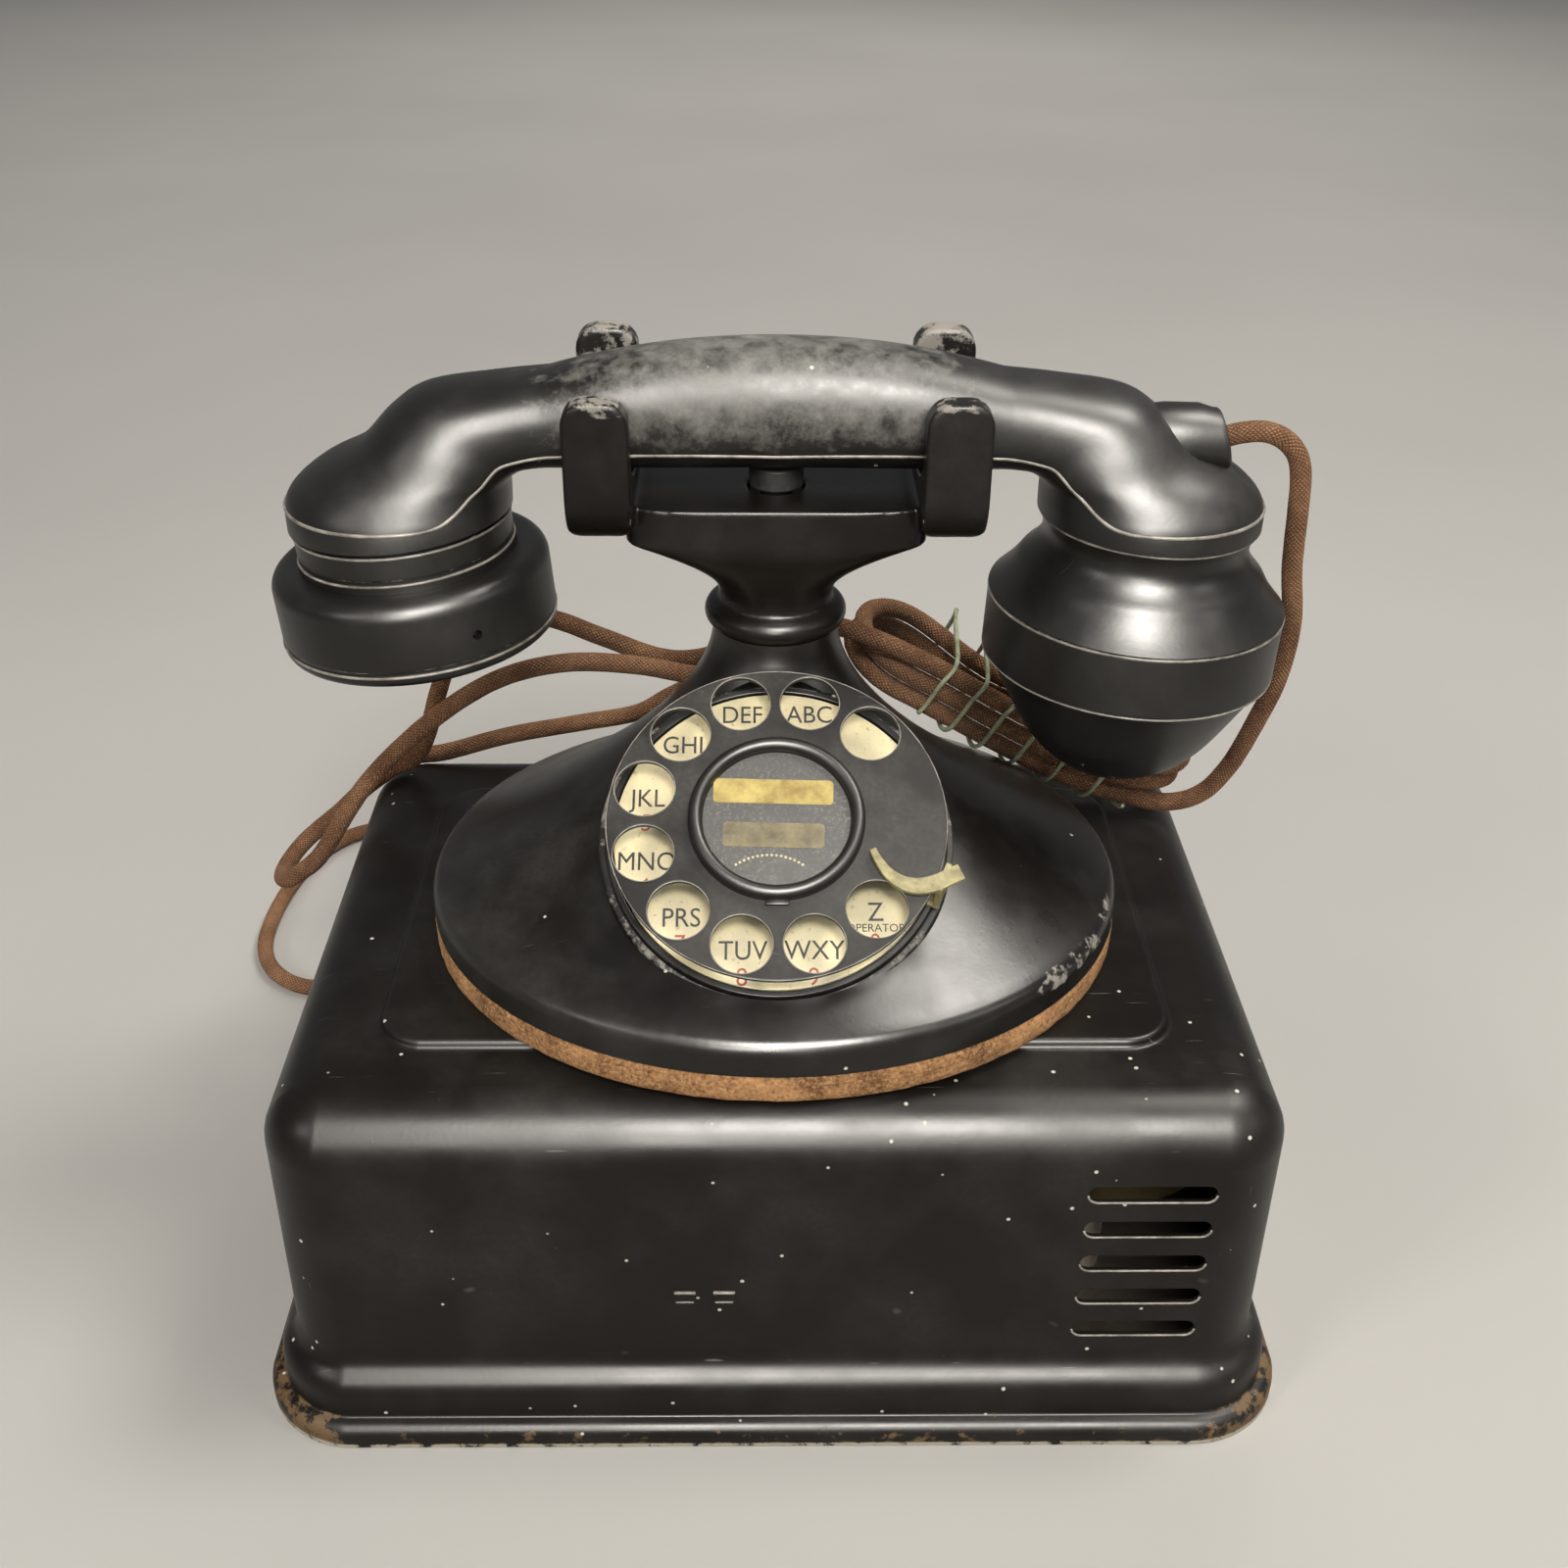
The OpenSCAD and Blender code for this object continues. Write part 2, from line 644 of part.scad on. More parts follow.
module base_casting() {
  outer = concat(
    [foot_ring(foot_a, foot_b, cast_z, foot_y, foot_sides)],
    [foot_ring(foot_a, foot_b, cast_z + rim_h, foot_y, foot_sides)],
    [foot_ring(foot_a - 0.6, foot_b - 0.6, cast_z + rim_h + 1.6, foot_y, foot_sides)],
    [for (k = [0 : bell_steps]) bell_ring(k / bell_steps, 0, foot_sides)]
  );
  inner = concat(
    [foot_ring(foot_a - cast_t, foot_b - cast_t, cast_z - over, foot_y, foot_sides)],
    [foot_ring(foot_a - cast_t, foot_b - cast_t, cast_z + rim_h - cast_t / 2, foot_y, foot_sides)],
    [for (k = [0 : bell_steps / 2 + 2]) bell_ring(k / bell_steps, cast_t, foot_sides)]
  );
  color(black_paint) difference() {
    union() {
      difference() {
        loft(outer);
        loft(inner);
        translate([0, neck_y, cast_z + 20]) cylinder(r = neck_bore_r + slip_gap, h = cast_h);
      }
      in_dial() translate([0, 0, ledge_z - ledge_t]) cylinder(r = cup_bore_r + cup_wall,
          h = cup_rim - ledge_z + ledge_t);
      intersection() {
        loft(outer);
        for (p = foot_screw_places()) translate([p[0], p[1], cast_z]) cylinder(r = boss_r, h = 3 * boss_h);
      }
    }
    in_dial() translate([0, 0, ledge_z]) cylinder(r = cup_bore_r, h = 60);
    in_dial() translate([0, 0, -works_depth]) cylinder(r = ledge_in, h = works_depth);
    for (p = foot_screw_places()) translate([p[0], p[1], cast_z - over]) cylinder(r = screw_r + slip_gap,
        h = boss_h + over);
    for (s = [-1, 1]) translate([s * bush_x, bush_out_y, bush_z]) rotate([90, 0, 0])
        cylinder(r = bush_r + slip_gap, h = 30);
  }
}
module base_cord_bushes() {
  color(black_moulding) for (s = [-1, 1])
    translate([s * bush_x, bush_out_y, bush_z]) rotate([-90, 0, 0]) cord_bush(22, 3.5);
}

// Cradle
function round_rect_ring(hx, hy, z, n, sharp) = [for (i = [0 : n - 1]) let (t = 360 * i / n)
  [hx * power(cos(t), 2 / sharp), neck_y + hy * power(sin(t), 2 / sharp), z]];
function cradle_ring(t) =
  let (k = pow(t, 2.2))
  round_rect_ring(mix(neck_r - 1.5, body_hw, k), mix(neck_r - 1.5, body_hd, ease(t)),
    mix(neck_z + bead_tube + 2, cradle_z - body_edge, pow(t, 0.75)), 48, mix(2, 6, ease(t)));
fork_corner = 12;
module fork_profile(high) {
  difference() {
    union() {
      translate([-fork_out, fork_low + fork_corner]) square([2 * fork_out, high - fork_low - fork_corner]);
      translate([-fork_out + fork_corner, fork_low]) square([2 * (fork_out - fork_corner),
          fork_corner + over]);
      for (s = [-1, 1]) translate([s * (fork_out - fork_corner), fork_low + fork_corner])
          circle(fork_corner);
    }
    translate([-fork_in, seat_z + fork_corner]) square([2 * fork_in, high - seat_z]);
    translate([-fork_in + fork_corner, seat_z]) square([2 * (fork_in - fork_corner), fork_corner + over]);
    for (s = [-1, 1]) translate([s * (fork_in - fork_corner), seat_z + fork_corner]) circle(fork_corner);
  }
}
prong_round = 5;
module prong_front(high) {
  translate([-prong_w / 2, fork_low + prong_round]) square([prong_w, high - fork_low - 2 * prong_round]);
  translate([-prong_w / 2 + prong_round, fork_low]) square([prong_w - 2 * prong_round, high - fork_low]);
  for (s = [-1, 1], z = [fork_low + prong_round, high - prong_round])
    translate([s * (prong_w / 2 - prong_round), z]) circle(prong_round);
}
// Half of a fork, in front (-1) or behind (1)
module fork_half(side) {
  high = seat_z + prong_h + (side > 0 ? rear_rise : 0);
  intersection() {
    translate([0, neck_y, 0]) rotate([90, 0, 90]) translate([0, 0, -prong_w / 2]) linear_extrude(prong_w)
      intersection() {
        fork_profile(high);
        translate([side > 0 ? -over : -fork_out, fork_low]) square([fork_out + over, high - fork_low]);
      }
    translate([0, neck_y + 50, 0]) rotate([90, 0, 0]) linear_extrude(100) prong_front(high);
  }
}
module fork() {
  for (side = [-1, 1]) fork_half(side);
}
module cradle() {
  color(black_paint) difference() {
    union() {
      loft(concat([for (k = [0 : 8]) cradle_ring(k / 8)], [round_rect_ring(body_hw, body_hd, cradle_z,
          48, 6)]));
      for (s = [-1, 1]) translate([s * fork_x, 0, 0]) fork();
      translate([0, neck_y, neck_z]) rotate_extrude() {
        translate([0, -spigot_h]) square([neck_bore_r, spigot_h + 2 * bead_tube + over]);
        square([bead_r - bead_tube, 2 * bead_tube]);
        translate([bead_r - bead_tube, bead_tube]) circle(bead_tube);
      }
    }
    translate([0, neck_y, neck_z - spigot_h - over]) cylinder(r = stem_r + run_gap,
        h = cradle_h + spigot_h + 20);
    translate([0, neck_y, cradle_z - 2]) cylinder(r = plunger_r + seat_gap, h = 20);
  }
}
module plunger() {
  color(black_moulding) translate([0, neck_y, 0]) {
    translate([0, 0, plunger_top - plunger_head_h]) cylinder(r = plunger_r, h = plunger_head_h);
    translate([0, 0, stem_low]) cylinder(r = stem_r, h = plunger_top - stem_low - 1);
    translate([0, 0, stem_low]) cylinder(r = stem_r + 2, h = 3);
  }
}
spring_wire = 0.9;
spring_turns = 5;
module plunger_spring() {
  low = switch_top;
  high = stem_low - seat_gap;
  rise = high - low - 2 * spring_wire;
  mid_r = stem_r + 1;
  path = [for (k = [0 : spring_turns * 12])
    [mid_r * cos(30 * k), neck_y + mid_r * sin(30 * k),
        low + spring_wire + rise * k / (spring_turns * 12)]];
  color(worn_steel) tube(path, spring_wire / 2, 6);
}
switch_top = cast_z + 8;
switch_depth = 30;
module switch_bracket() {
  color(dark_steel) {
    translate([-12, neck_y - 9, switch_top - 2]) cube([24, switch_depth, 2]);
    for (s = [-1, 1]) translate([s * 11 - 1, neck_y - 9, cast_z]) cube([2, switch_depth,
        switch_top - cast_z]);
  }
}
module switch_springs() {
  color(brass) for (k = [0 : 3])
    translate([-3.5, neck_y + 10 + k * 2.5, switch_top]) cube([7, 0.6, 14 - k]);
}

// Dial
module dial_case() {
  color(black_paint) in_dial() difference() {
    union() {
      translate([0, 0, ledge_z]) cylinder(r = case_r, h = case_t);
      difference() {
        translate([0, 0, ledge_z]) cylinder(r = case_r, h = case_top - ledge_z);
        translate([0, 0, ledge_z - over]) cylinder(r = case_rim_in, h = case_top - ledge_z + 2 * over);
      }
    }
    translate([0, 0, ledge_z - over]) cylinder(r = shaft_r + run_gap, h = case_t + 2 * over);
    rotate(pinion_angle) translate([gear_axes, 0, ledge_z - over]) cylinder(r = arbor_r + run_gap,
        h = case_t + 2 * over);
  }
}
module number_plate() {
  color(cream_enamel) in_dial() translate([0, 0, case_floor]) difference() {
    cylinder(r = plate_r, h = plate_t_dial);
    translate([0, 0, -over]) cylinder(r = hub_r + 4, h = plate_t_dial + 2 * over);
  }
}
stop_angle = -22;
stop_w = 3.6;
stop_tip_w = 1.5;
// Sickle of the finger stop, from its tip to its foot, in the dial's plane
stop_line = smooth_route([
  [20, -7.6], [21.4, -10.6], [23.4, -13.4], [26, -15.3], [29.3, -16.1], [33.1, -15.3], [36.2, -13.8], [38.4, -12.8],
], 3);
stop_last = len(stop_line) - 1;
function stop_side(k, s) =
  let (way = unit(stop_line[min(k + 1, stop_last)] - stop_line[max(k - 1, 0)]))
  let (half = mix(stop_tip_w, stop_w, ease(1.6 * k / stop_last)) / 2)
  stop_line[k] + s * half * [-way[1], way[0]];
module finger_stop() {
  low = case_top;
  high = stop_lift + stop_t;
  out = case_r + 1.3;
  color(brass) in_dial() {
    translate([0, 0, stop_lift]) linear_extrude(stop_t) polygon(concat(
      [for (k = [0 : stop_last]) stop_side(k, 1)],
      [for (k = [stop_last : -1 : 0]) stop_side(k, -1)]
    ));
    rotate(stop_angle) {
      translate([wheel_r + 0.5, -3.2, low]) cube([out - wheel_r - 0.5, 6.4, high - low]);
      translate([case_rim_in, -3.2, low]) cube([out - case_rim_in, 6.4, 1]);
    }
  }
}
bridge_z = gear_z - 9;
module governor_bridge() {
  color(brass) in_dial() difference() {
    union() {
      bridge_strip(bridge_z - 2, 2);
      for (p = bridge_posts) rotate(p[0]) translate([p[1], 0, bridge_z - 2]) cylinder(r = 1.4,
          h = ledge_z - bridge_z + 2);
    }
    translate([0, 0, bridge_z - 3]) cylinder(r = shaft_r + run_gap, h = 4);
    rotate(pinion_angle) translate([gear_axes, 0, bridge_z - 3]) cylinder(r = arbor_r + run_gap, h = 4);
  }
}
bridge_posts = [[pinion_angle + 172, 24], [pinion_angle + 188, 24]];
module bridge_strip(z, t) {
  rotate(pinion_angle) translate([-26, -5, z]) cube([55, 10, t]);
}
module mainspring_drum() {
  color(brass) in_dial() translate([0, 0, bridge_z - 2]) mirror([0, 0, 1]) difference() {
    cylinder(r = 11, h = 4);
    translate([0, 0, -over]) cylinder(r = shaft_r + 1, h = 4 + 2 * over);
  }
}
module finger_wheel() {
  color(black_paint) in_dial() difference() {
    union() {
      translate([0, 0, -wheel_t]) cylinder(r = wheel_r, h = wheel_t);
      translate([0, 0, case_top - 0.2]) cylinder(r = hub_r, h = -case_top + 0.2);
    }
    for (k = [0 : hole_count - 1]) rotate(first_hole + k * hole_step) translate([hole_ring_r, 0,
        -wheel_t - over]) cylinder(r = hole_r, h = wheel_t + 2 * over);
    translate([0, 0, case_top - over]) cylinder(r = shaft_r + slip_gap, h = -case_top + 2 * over);
  }
}
ring_width = 3;
ring_lip = ring_width;
module card_ring() {
  color(black_moulding) in_dial() {
    rotate_extrude() translate([card_ring_r - ring_width, 0]) {
      square([ring_width, ring_lip - ring_width / 2]);
      translate([ring_width / 2, ring_lip - ring_width / 2]) circle(ring_width / 2);
    }
    translate([-2.5, -card_ring_r - 1, 0]) cube([5, 1.6, 0.8]);
  }
}
card_r = card_ring_r - ring_width - slip_gap;
module number_card() {
  color(card_paper) in_dial() translate([0, 0, slip_gap]) cylinder(r = card_r, h = 0.4);
}
module card_window() {
  color(clear_sheet) in_dial() translate([0, 0, slip_gap + 0.4]) cylinder(r = card_r, h = 0.5);
}
module dial_shaft() {
  color(worn_steel) in_dial() translate([0, 0, bridge_z - 5]) cylinder(r = shaft_r, h = -bridge_z + 5);
}
// Outline of a gear with straight-sided teeth
function gear_outline(teeth, m) = let (r = m * teeth / 2, s = 360 / teeth)
  [for (k = [0 : teeth - 1]) each [for (q = [[-0.30, -1.15], [-0.12, 0.8], [0.12, 0.8], [0.30, -1.15]])
    (r + q[1] * m) * [cos((k + q[0]) * s), sin((k + q[0]) * s)]]];
module main_gear() {
  color(brass) in_dial() translate([0, 0, gear_z]) rotate(pinion_angle) difference() {
    linear_extrude(gear_t) polygon(gear_outline(gear_teeth, gear_module));
    translate([0, 0, -over]) cylinder(r = shaft_r + slip_gap, h = gear_t + 2 * over);
    for (k = [0 : 3]) rotate(45 + 90 * k) translate([gear_pitch_r * 0.55, 0, -over])
        cylinder(r = gear_pitch_r * 0.2, h = gear_t + 2 * over);
  }
}
module governor_pinion() {
  color(worn_steel) in_dial() rotate(pinion_angle) translate([gear_axes, 0, 0]) {
    translate([0, 0, bridge_z - 1.9]) cylinder(r = arbor_r, h = ledge_z + case_t - 0.2 - bridge_z + 1.9);
    translate([0, 0, gear_z - 0.5]) rotate(180 + 180 / pinion_teeth) linear_extrude(gear_t + 1)
        polygon(gear_outline(pinion_teeth, gear_module));
  }
}
module governor_weights() {
  color(brass) in_dial() rotate(pinion_angle) translate([gear_axes, 0, bridge_z + 0.4]) difference() {
    cylinder(r = 6, h = 5);
    translate([0, 0, -over]) cylinder(r = arbor_r + slip_gap, h = 5 + 2 * over);
    for (s = [-1, 1]) translate([-7, s * 2.6 - 0.4, 2]) cube([14, 0.8, 4]);
  }
}

// Handset
function grip_ring(x, n) =
  let (t = abs(x) / pivot_x)
  let (z = grip_z - bend_drop * t * t, hh = mix(grip_hh, bend_hh, pow(t, 2.2)), hw = mix(grip_hw,
      bend_hw, t * t))
  [for (i = [0 : n - 1]) let (a = 360 * i / n)
    [x, handset_y + hw * power(cos(a), 2 / 2.4), z + hh * power(sin(a), 2 / 2.4)]];
// Outline of a handle's end, outwards from the cup's axis and upwards from its joint
function lean_of(side) = side < 0 ? ear_lean : mouth_lean;
function crown(side) = smooth_route([
  cup_r * [cos(lean_of(side)), -sin(lean_of(side))], [cup_r - 0.3, 3.5], [cup_r - 2.3, 7.2],
  [16.6, 11.7], [7.5, 16.3], [0.3, 23.5], [-7.5, 28.4], [-22, grip_z - joint_z - bend_drop + bend_hh - 1.3],
  [pivot_x - cup_x, grip_z - joint_z - bend_drop + bend_hh],
], bend_spans);
function throat(side) = smooth_route([
  -cup_r * [cos(lean_of(side)), -sin(lean_of(side))], [-cup_r, 4.5], [-cup_r, 6.8],
  [-cup_r - 0.3, 8.8], [-cup_r - 1.4, 10.1], [-cup_r - 2.8, 10.9], [-cup_r - 4.4, 11.4],
  [-cup_r - 6.8, grip_z - joint_z - bend_drop - bend_hh - 0.1],
  [pivot_x - cup_x, grip_z - joint_z - bend_drop - bend_hh],
], bend_spans);
// Ring of an end, from the cup's joint (0) to the grip (1)
function bend_ring(k, side, n) =
  let (o = crown(side)[k], i = throat(side)[k], t = k / bend_steps, q = mix(2, 2.4, t))
  let (c = (o + i) / 2, h = (o - i) / 2, hw = mix(cup_r, bend_hw, ease(t)))
  [for (j = [0 : n - 1]) let (b = 360 * j / n, e = power(sin(b), 2 / q))
    [side * (cup_x + c[0] + h[0] * e), handset_y + hw * power(cos(b), 2 / q), joint_z + c[1] + h[1] * e]];
bend_spans = 2;
bend_steps = 8 * bend_spans;
grip_steps = 7;
grip_sides = 32;
module in_cup(side) {
  translate([side * cup_x, handset_y, joint_z]) rotate([0, side * lean_of(side), 0]) children();
}
boss_face_r = 6.9;
boss_angle = 15;
boss_face = [cup_x + 14.5, handset_y, joint_z + 17.6];
module handset_handle() {
  rings = concat(
    [for (k = [0 : bend_steps]) bend_ring(k, -1, grip_sides)],
    [for (k = [1 : 2 * grip_steps - 1]) grip_ring((k / grip_steps - 1) * pivot_x, grip_sides)],
    [for (k = [bend_steps : -1 : 0]) bend_ring(k, 1, grip_sides)]
  );
  color(black_moulding) difference() {
    union() {
      loft(rings);
      hull() {
        translate(boss_face) rotate([0, -90 - boss_angle, 0]) cylinder(r = boss_face_r, h = 2, $fn = 40);
        translate([cup_x + 1.5, handset_y, joint_z + 17]) sphere(boss_face_r + 1.5, $fn = 24);
      }
    }
    for (s = [-1, 1]) in_cup(s) translate([0, 0, -over]) cylinder(r = cup_r - 4, h = over + 6);
  }
}
module receiver_case() {
  color(black_moulding) in_cup(-1) rotate_extrude() difference() {
    union() {
      translate([0, -collar_h - 6]) square([cup_r - 0.8, collar_h + 6]);
      translate([0, -0.2]) square([cup_r - 4 - slip_gap, 5]);
    }
    translate([-over, -collar_h - 6 - over]) square([cup_r - 4 + over, collar_h + 4]);
  }
}
module receiver_unit() {
  color(worn_steel) in_cup(-1) translate([0, 0, -collar_h - 6 - 1.6]) {
    cylinder(r = cup_r - 4 - seat_gap, h = collar_h + 4.3);
    cylinder(r = ear_r - 5, h = 1.5);
  }
}
ear_round = 4;
ear_hole_r = 8;
// Spanner hole in the side of the ear cap
spanner_r = 1.1;
spanner_deep = 2.5;
spanner_turn = -55.7;
spanner_drop = 10;
module ear_cap() {
  low = -collar_h - ear_h;
  color(black_moulding) in_cup(-1) difference() {
    rotate_extrude() {
      translate([0, low]) square([ear_r - 2, ear_h]);
      translate([0, low + 2]) square([ear_r, ear_h - 2 - ear_round]);
      translate([ear_r - 2, low + 2]) circle(2);
      translate([0, low]) square([ear_r - ear_round, ear_h]);
      translate([ear_r - ear_round, -collar_h - ear_round]) circle(ear_round);
    }
    translate([0, 0, -collar_h - 6]) cylinder(r = cup_r - 0.8 + slip_gap, h = 6 + over);
    translate([0, 0, -collar_h - 6 - 1.6 - slip_gap]) cylinder(r = ear_r - 4.6, h = 1.7 + 2 * slip_gap);
    translate([0, 0, low + 6]) cylinder(r = ear_hole_r * 2, h = ear_h - 12);
    translate([0, 0, low - over]) cylinder(r1 = ear_r - 7, r2 = ear_hole_r, h = 5 + over);
    translate([0, 0, low + 3]) cylinder(r = ear_hole_r, h = 5);
    rotate(spanner_turn) translate([ear_r - spanner_deep, 0, -collar_h - spanner_drop]) rotate([0, 90, 0])
      cylinder(r = spanner_r, h = spanner_deep + over, $fn = 24);
  }
}
bell_waist = 2;
bell_curve = [for (k = [0 : 10]) let (t = k / 10)
  [cup_r - 0.3 - bell_waist * sin(180 * min(t / 0.6, 1)) + (bell_r - cup_r + 0.3) * pow(t, 2.2),
      -bell_h * t]];
module transmitter_bell() {
  color(black_moulding) in_cup(1) rotate_extrude() polygon(concat(
    [[0, 4.8], [cup_r - 4 - slip_gap, 4.8], [cup_r - 4 - slip_gap, 0]],
    bell_curve,
    [[bell_r - 3, -bell_h], [bell_r - 3, -bell_h - 5], [bell_r - 6, -bell_h - 5], [bell_r - 6,
        -bell_h + 2]],
    [[cup_r - 6, -bell_h + 2], [cup_r - 6, -5], [0, -5]]
  ));
}
module transmitter_unit() {
  color(worn_steel) in_cup(1) {
    translate([0, 0, -bell_h - 5]) cylinder(r = bell_r - 6 - seat_gap, h = 6.4);
    translate([0, 0, -bell_h]) cylinder(r = cup_r - 6 - seat_gap, h = bell_h - 6);
  }
}
mouth_r = 12;
bowl_step = 1.3;
mouth_wall = 2;
grille_t = 3;
// Outline of the bowl from the band to its lip, drawn in by an inset
function bowl_curve(inset) = [for (k = [0 : 12]) let (s = k / 12)
  let (narrow = 1 - 0.72 * s - 0.28 * pow(s, 6))
  [mouth_r - inset + (bell_r - bowl_step - mouth_r) * narrow, -bell_h - band_h - bowl_h * s + inset]];
function turned(p) = [for (k = [len(p) - 1 : -1 : 0]) p[k]];
module mouthpiece() {
  top = -bell_h - slip_gap;
  grille = top - 5 - slip_gap;
  low = -bell_h - band_h - bowl_h;
  color(black_moulding) in_cup(1) difference() {
    rotate_extrude() polygon(concat(
      [[0, grille], [bell_r - 3 + slip_gap, grille], [bell_r - 3 + slip_gap, top], [bell_r - 1, top],
          [bell_r, top - 1]],
      [[bell_r, -bell_h - band_h + 1], [bell_r - 1, -bell_h - band_h]],
      bowl_curve(0),
      [[mouth_r - mouth_wall, low]],
      turned(bowl_curve(mouth_wall)),
      [[bell_r - bowl_step - mouth_wall, grille - grille_t - 4]],
      [[bell_r - bowl_step - mouth_wall - 4, grille - grille_t], [0, grille - grille_t]]
    ));
    for (k = [0 : 5]) rotate(60 * k) translate([mouth_r * 0.55, 0, grille - grille_t - over])
      cylinder(r = 1.6, h = grille_t + 2 * over);
    translate([0, 0, grille - grille_t - over]) cylinder(r = 1.6, h = grille_t + 2 * over);
  }
}

// Cords
// Hank: loops along u, spread along v, piled along w
hank_loops = 2.5;
hank_mid = [62, 55, 113];
hank_u = unit([0.893, 0.03, -0.449]);
hank_v = square_to([0, 1, 0.17], hank_u);
hank_w = cross(hank_u, hank_v);
hank_half = 33;
hank_pitch = cord_d + 0.8;
hank_waist = 5;
hank_sag = 6;
hank_lobe = 5;
hank_reach = 40;
function hank_spread(u) = bend_r - hank_waist * pow(1 - pow(min(abs(u) / hank_half, 1), 2), 2);
function hank_drop(u) = hank_sag * pow(1 - pow(min(abs(u - hank_lobe) / hank_reach, 1), 2), 2);
function hank_place(u, v, w) = hank_mid + u * hank_u + v * hank_v + (w - hank_drop(u)) * hank_w;
fold_len = PI * bend_r;
run_len = 2 * hank_half;
// Point of the hank after s loops: front run, left fold, climbing rear run, right fold
function hank_at(s) =
  let (k = floor(s), d = (s - k) * (2 * run_len + 2 * fold_len))
  d <= run_len ?
    let (u = hank_half - d) hank_place(u, -hank_spread(u), hank_pitch * k)
  : d <= run_len + fold_len ?
    let (a = 180 * (d - run_len) / fold_len) hank_place(-hank_half - bend_r * sin(a), -bend_r * cos(a),
        hank_pitch * k)
  : d <= 2 * run_len + fold_len ?
    let (e = d - run_len - fold_len, u = e - hank_half)
    hank_place(u, hank_spread(u), hank_pitch * (k + ease(e / run_len)))
  : let (a = 180 * (d - 2 * run_len - fold_len) / fold_len)
    hank_place(hank_half + bend_r * sin(a), bend_r * cos(a), hank_pitch * (k + 1));
hank_last = floor(hank_loops) + run_len / (2 * run_len + 2 * fold_len);
hank_rings = 24;
hank_in = hank_place(hank_half + cord_d, -bend_r, 0);
hank_out = hank_place(-hank_half - cord_d, -bend_r, hank_pitch * floor(hank_loops));
hank_in_way = unit(hank_in - hank_at(0));
hank_out_way = unit(hank_out - hank_at(hank_last - 0.001));
hank_route = concat(
  [hank_in],
  [for (k = [0 : floor(hank_last * hank_rings)]) hank_at(k / hank_rings)],
  [hank_at(hank_last - 0.001)],
  [hank_out]
);
// The handset cord leaves its boss, drops to the hank and comes out of it behind the neck
boss_way = [cos(boss_angle), 0, sin(boss_angle)];
arc_points = [
  boss_face,
  boss_face + 4 * boss_way,
  [106.4, 15, 203.2], [111, 15.1, 201.3], [114.3, 15.3, 197.6], [116, 15.8, 192.2], [116.9, 16.8, 184],
  [118.4, 19, 169.5], [121.3, 21.5, 153.5], [121.4, 25.5, 137], [119.4, 31, 121.5], [117.4, 36, 109],
  [115.2, 39, 101.6], [112.6, 40.8, 96.6], [108.8, 41.9, 93.4], [104.2, 42.5, 92],
  hank_in + cord_d * hank_in_way,
  hank_in,
];
arc_route = smooth_route(arc_points, 3);
// Wire wound round the hank, clear of its runs
tie_turns = 6;
tie_from = 35;
tie_to = -27;
tie_clear = 0.5;
tie_route = [for (k = [0 : tie_turns * 24])
  let (a = 15 * k + 200, u = mix(tie_from, tie_to, k / (tie_turns * 24)))
  let (hv = hank_spread(u) + cord_r + tie_d / 2 + tie_clear,
      hw = hank_pitch + cord_r + tie_d / 2 + tie_clear)
  hank_place(u, hv * power(cos(a), 1 / 4), hank_pitch + hw * power(sin(a), 1 / 4))];
// Handset cord past the hank: behind the neck, out to the left, over the box's edge and back
loop_points = [
  hank_out, hank_out + cord_d * hank_out_way,
  [19, 39, 143.5], [9, 42, 144], [0, 43.5, 141.5], [-10, 45, 136], [-19, 46.5, 132], [-29, 48, 131.5],
      [-43, 50, 136],
  [-57, 52, 140.5], [-71, 54, 140], [-82, 57, 129], [-88, 59.5, 115], [-92.5, 62, 101], [-97, 63.5, 93],
      [-104, 64, 89],
  [-112.5, 64.5, 82], [-119, 64.5, 75.6], [-126, 64.5, 69.5], [-129.1, 63.7, 66.9], [-131.7, 61.4, 64.7],
  [-133.4, 58, 63.2], [-134, 54, 62.7], [-133.4, 50, 63.2], [-131.7, 46.6, 64.7], [-129.1, 44.3, 66.9],
  [-126, 43.5, 69.5], [-120, 43.4, 75.2],
  [-107, 44, 95], [-93.5, 43, 110], [-79.5, 42, 122], [-66, 41, 130], [-50.5, 40, 134], [-34, 39.5, 133.5],
  [-19, 40, 130.5], [-9, 45, 128.5], [0, 54, 128], [7.2, 70, 128.3], [9, 79.5, 128],
  [9, 83.5, 127.2], [9, 87.2, 124.9], [9, 89.6, 121.4], [9, 90.4, 117.3], [9, 89.6, 113.2],
  [9, 87.2, 109.8], [9, 83.6, 107.6], [9, 79.6, 107], [bush_x, bush_out_y, bush_z],
];
// Mounting cord: base, box's rear edge, down behind the box to the coil, round on the desk, box
lie_z = cord_r + 0.05;
coil_mid = [-45, 135];
coil_step = 5.3;
coil_in = 20;
coil_half = 2.75;
coil_rise = cord_d + 0.6;
coil_out_r = coil_in + coil_step * coil_half;
function coil_at(t) =
  let (r = coil_in + coil_step * abs(t - coil_half), a = 360 * t - 90)
  [coil_mid[0] + r * cos(a), coil_mid[1] + r * sin(a),
      lie_z + coil_rise * ease((t - coil_half + 0.25) / 0.5)];
coil_start = coil_at(0) - [cord_d, 0, 0];
coil_end = coil_at(2 * coil_half) - [cord_d, 0, 0];
coil_rings = 24;
coil_route = concat([coil_start], [for (k = [0 : 2 * coil_half * coil_rings]) coil_at(k / coil_rings)],
    [coil_end]);
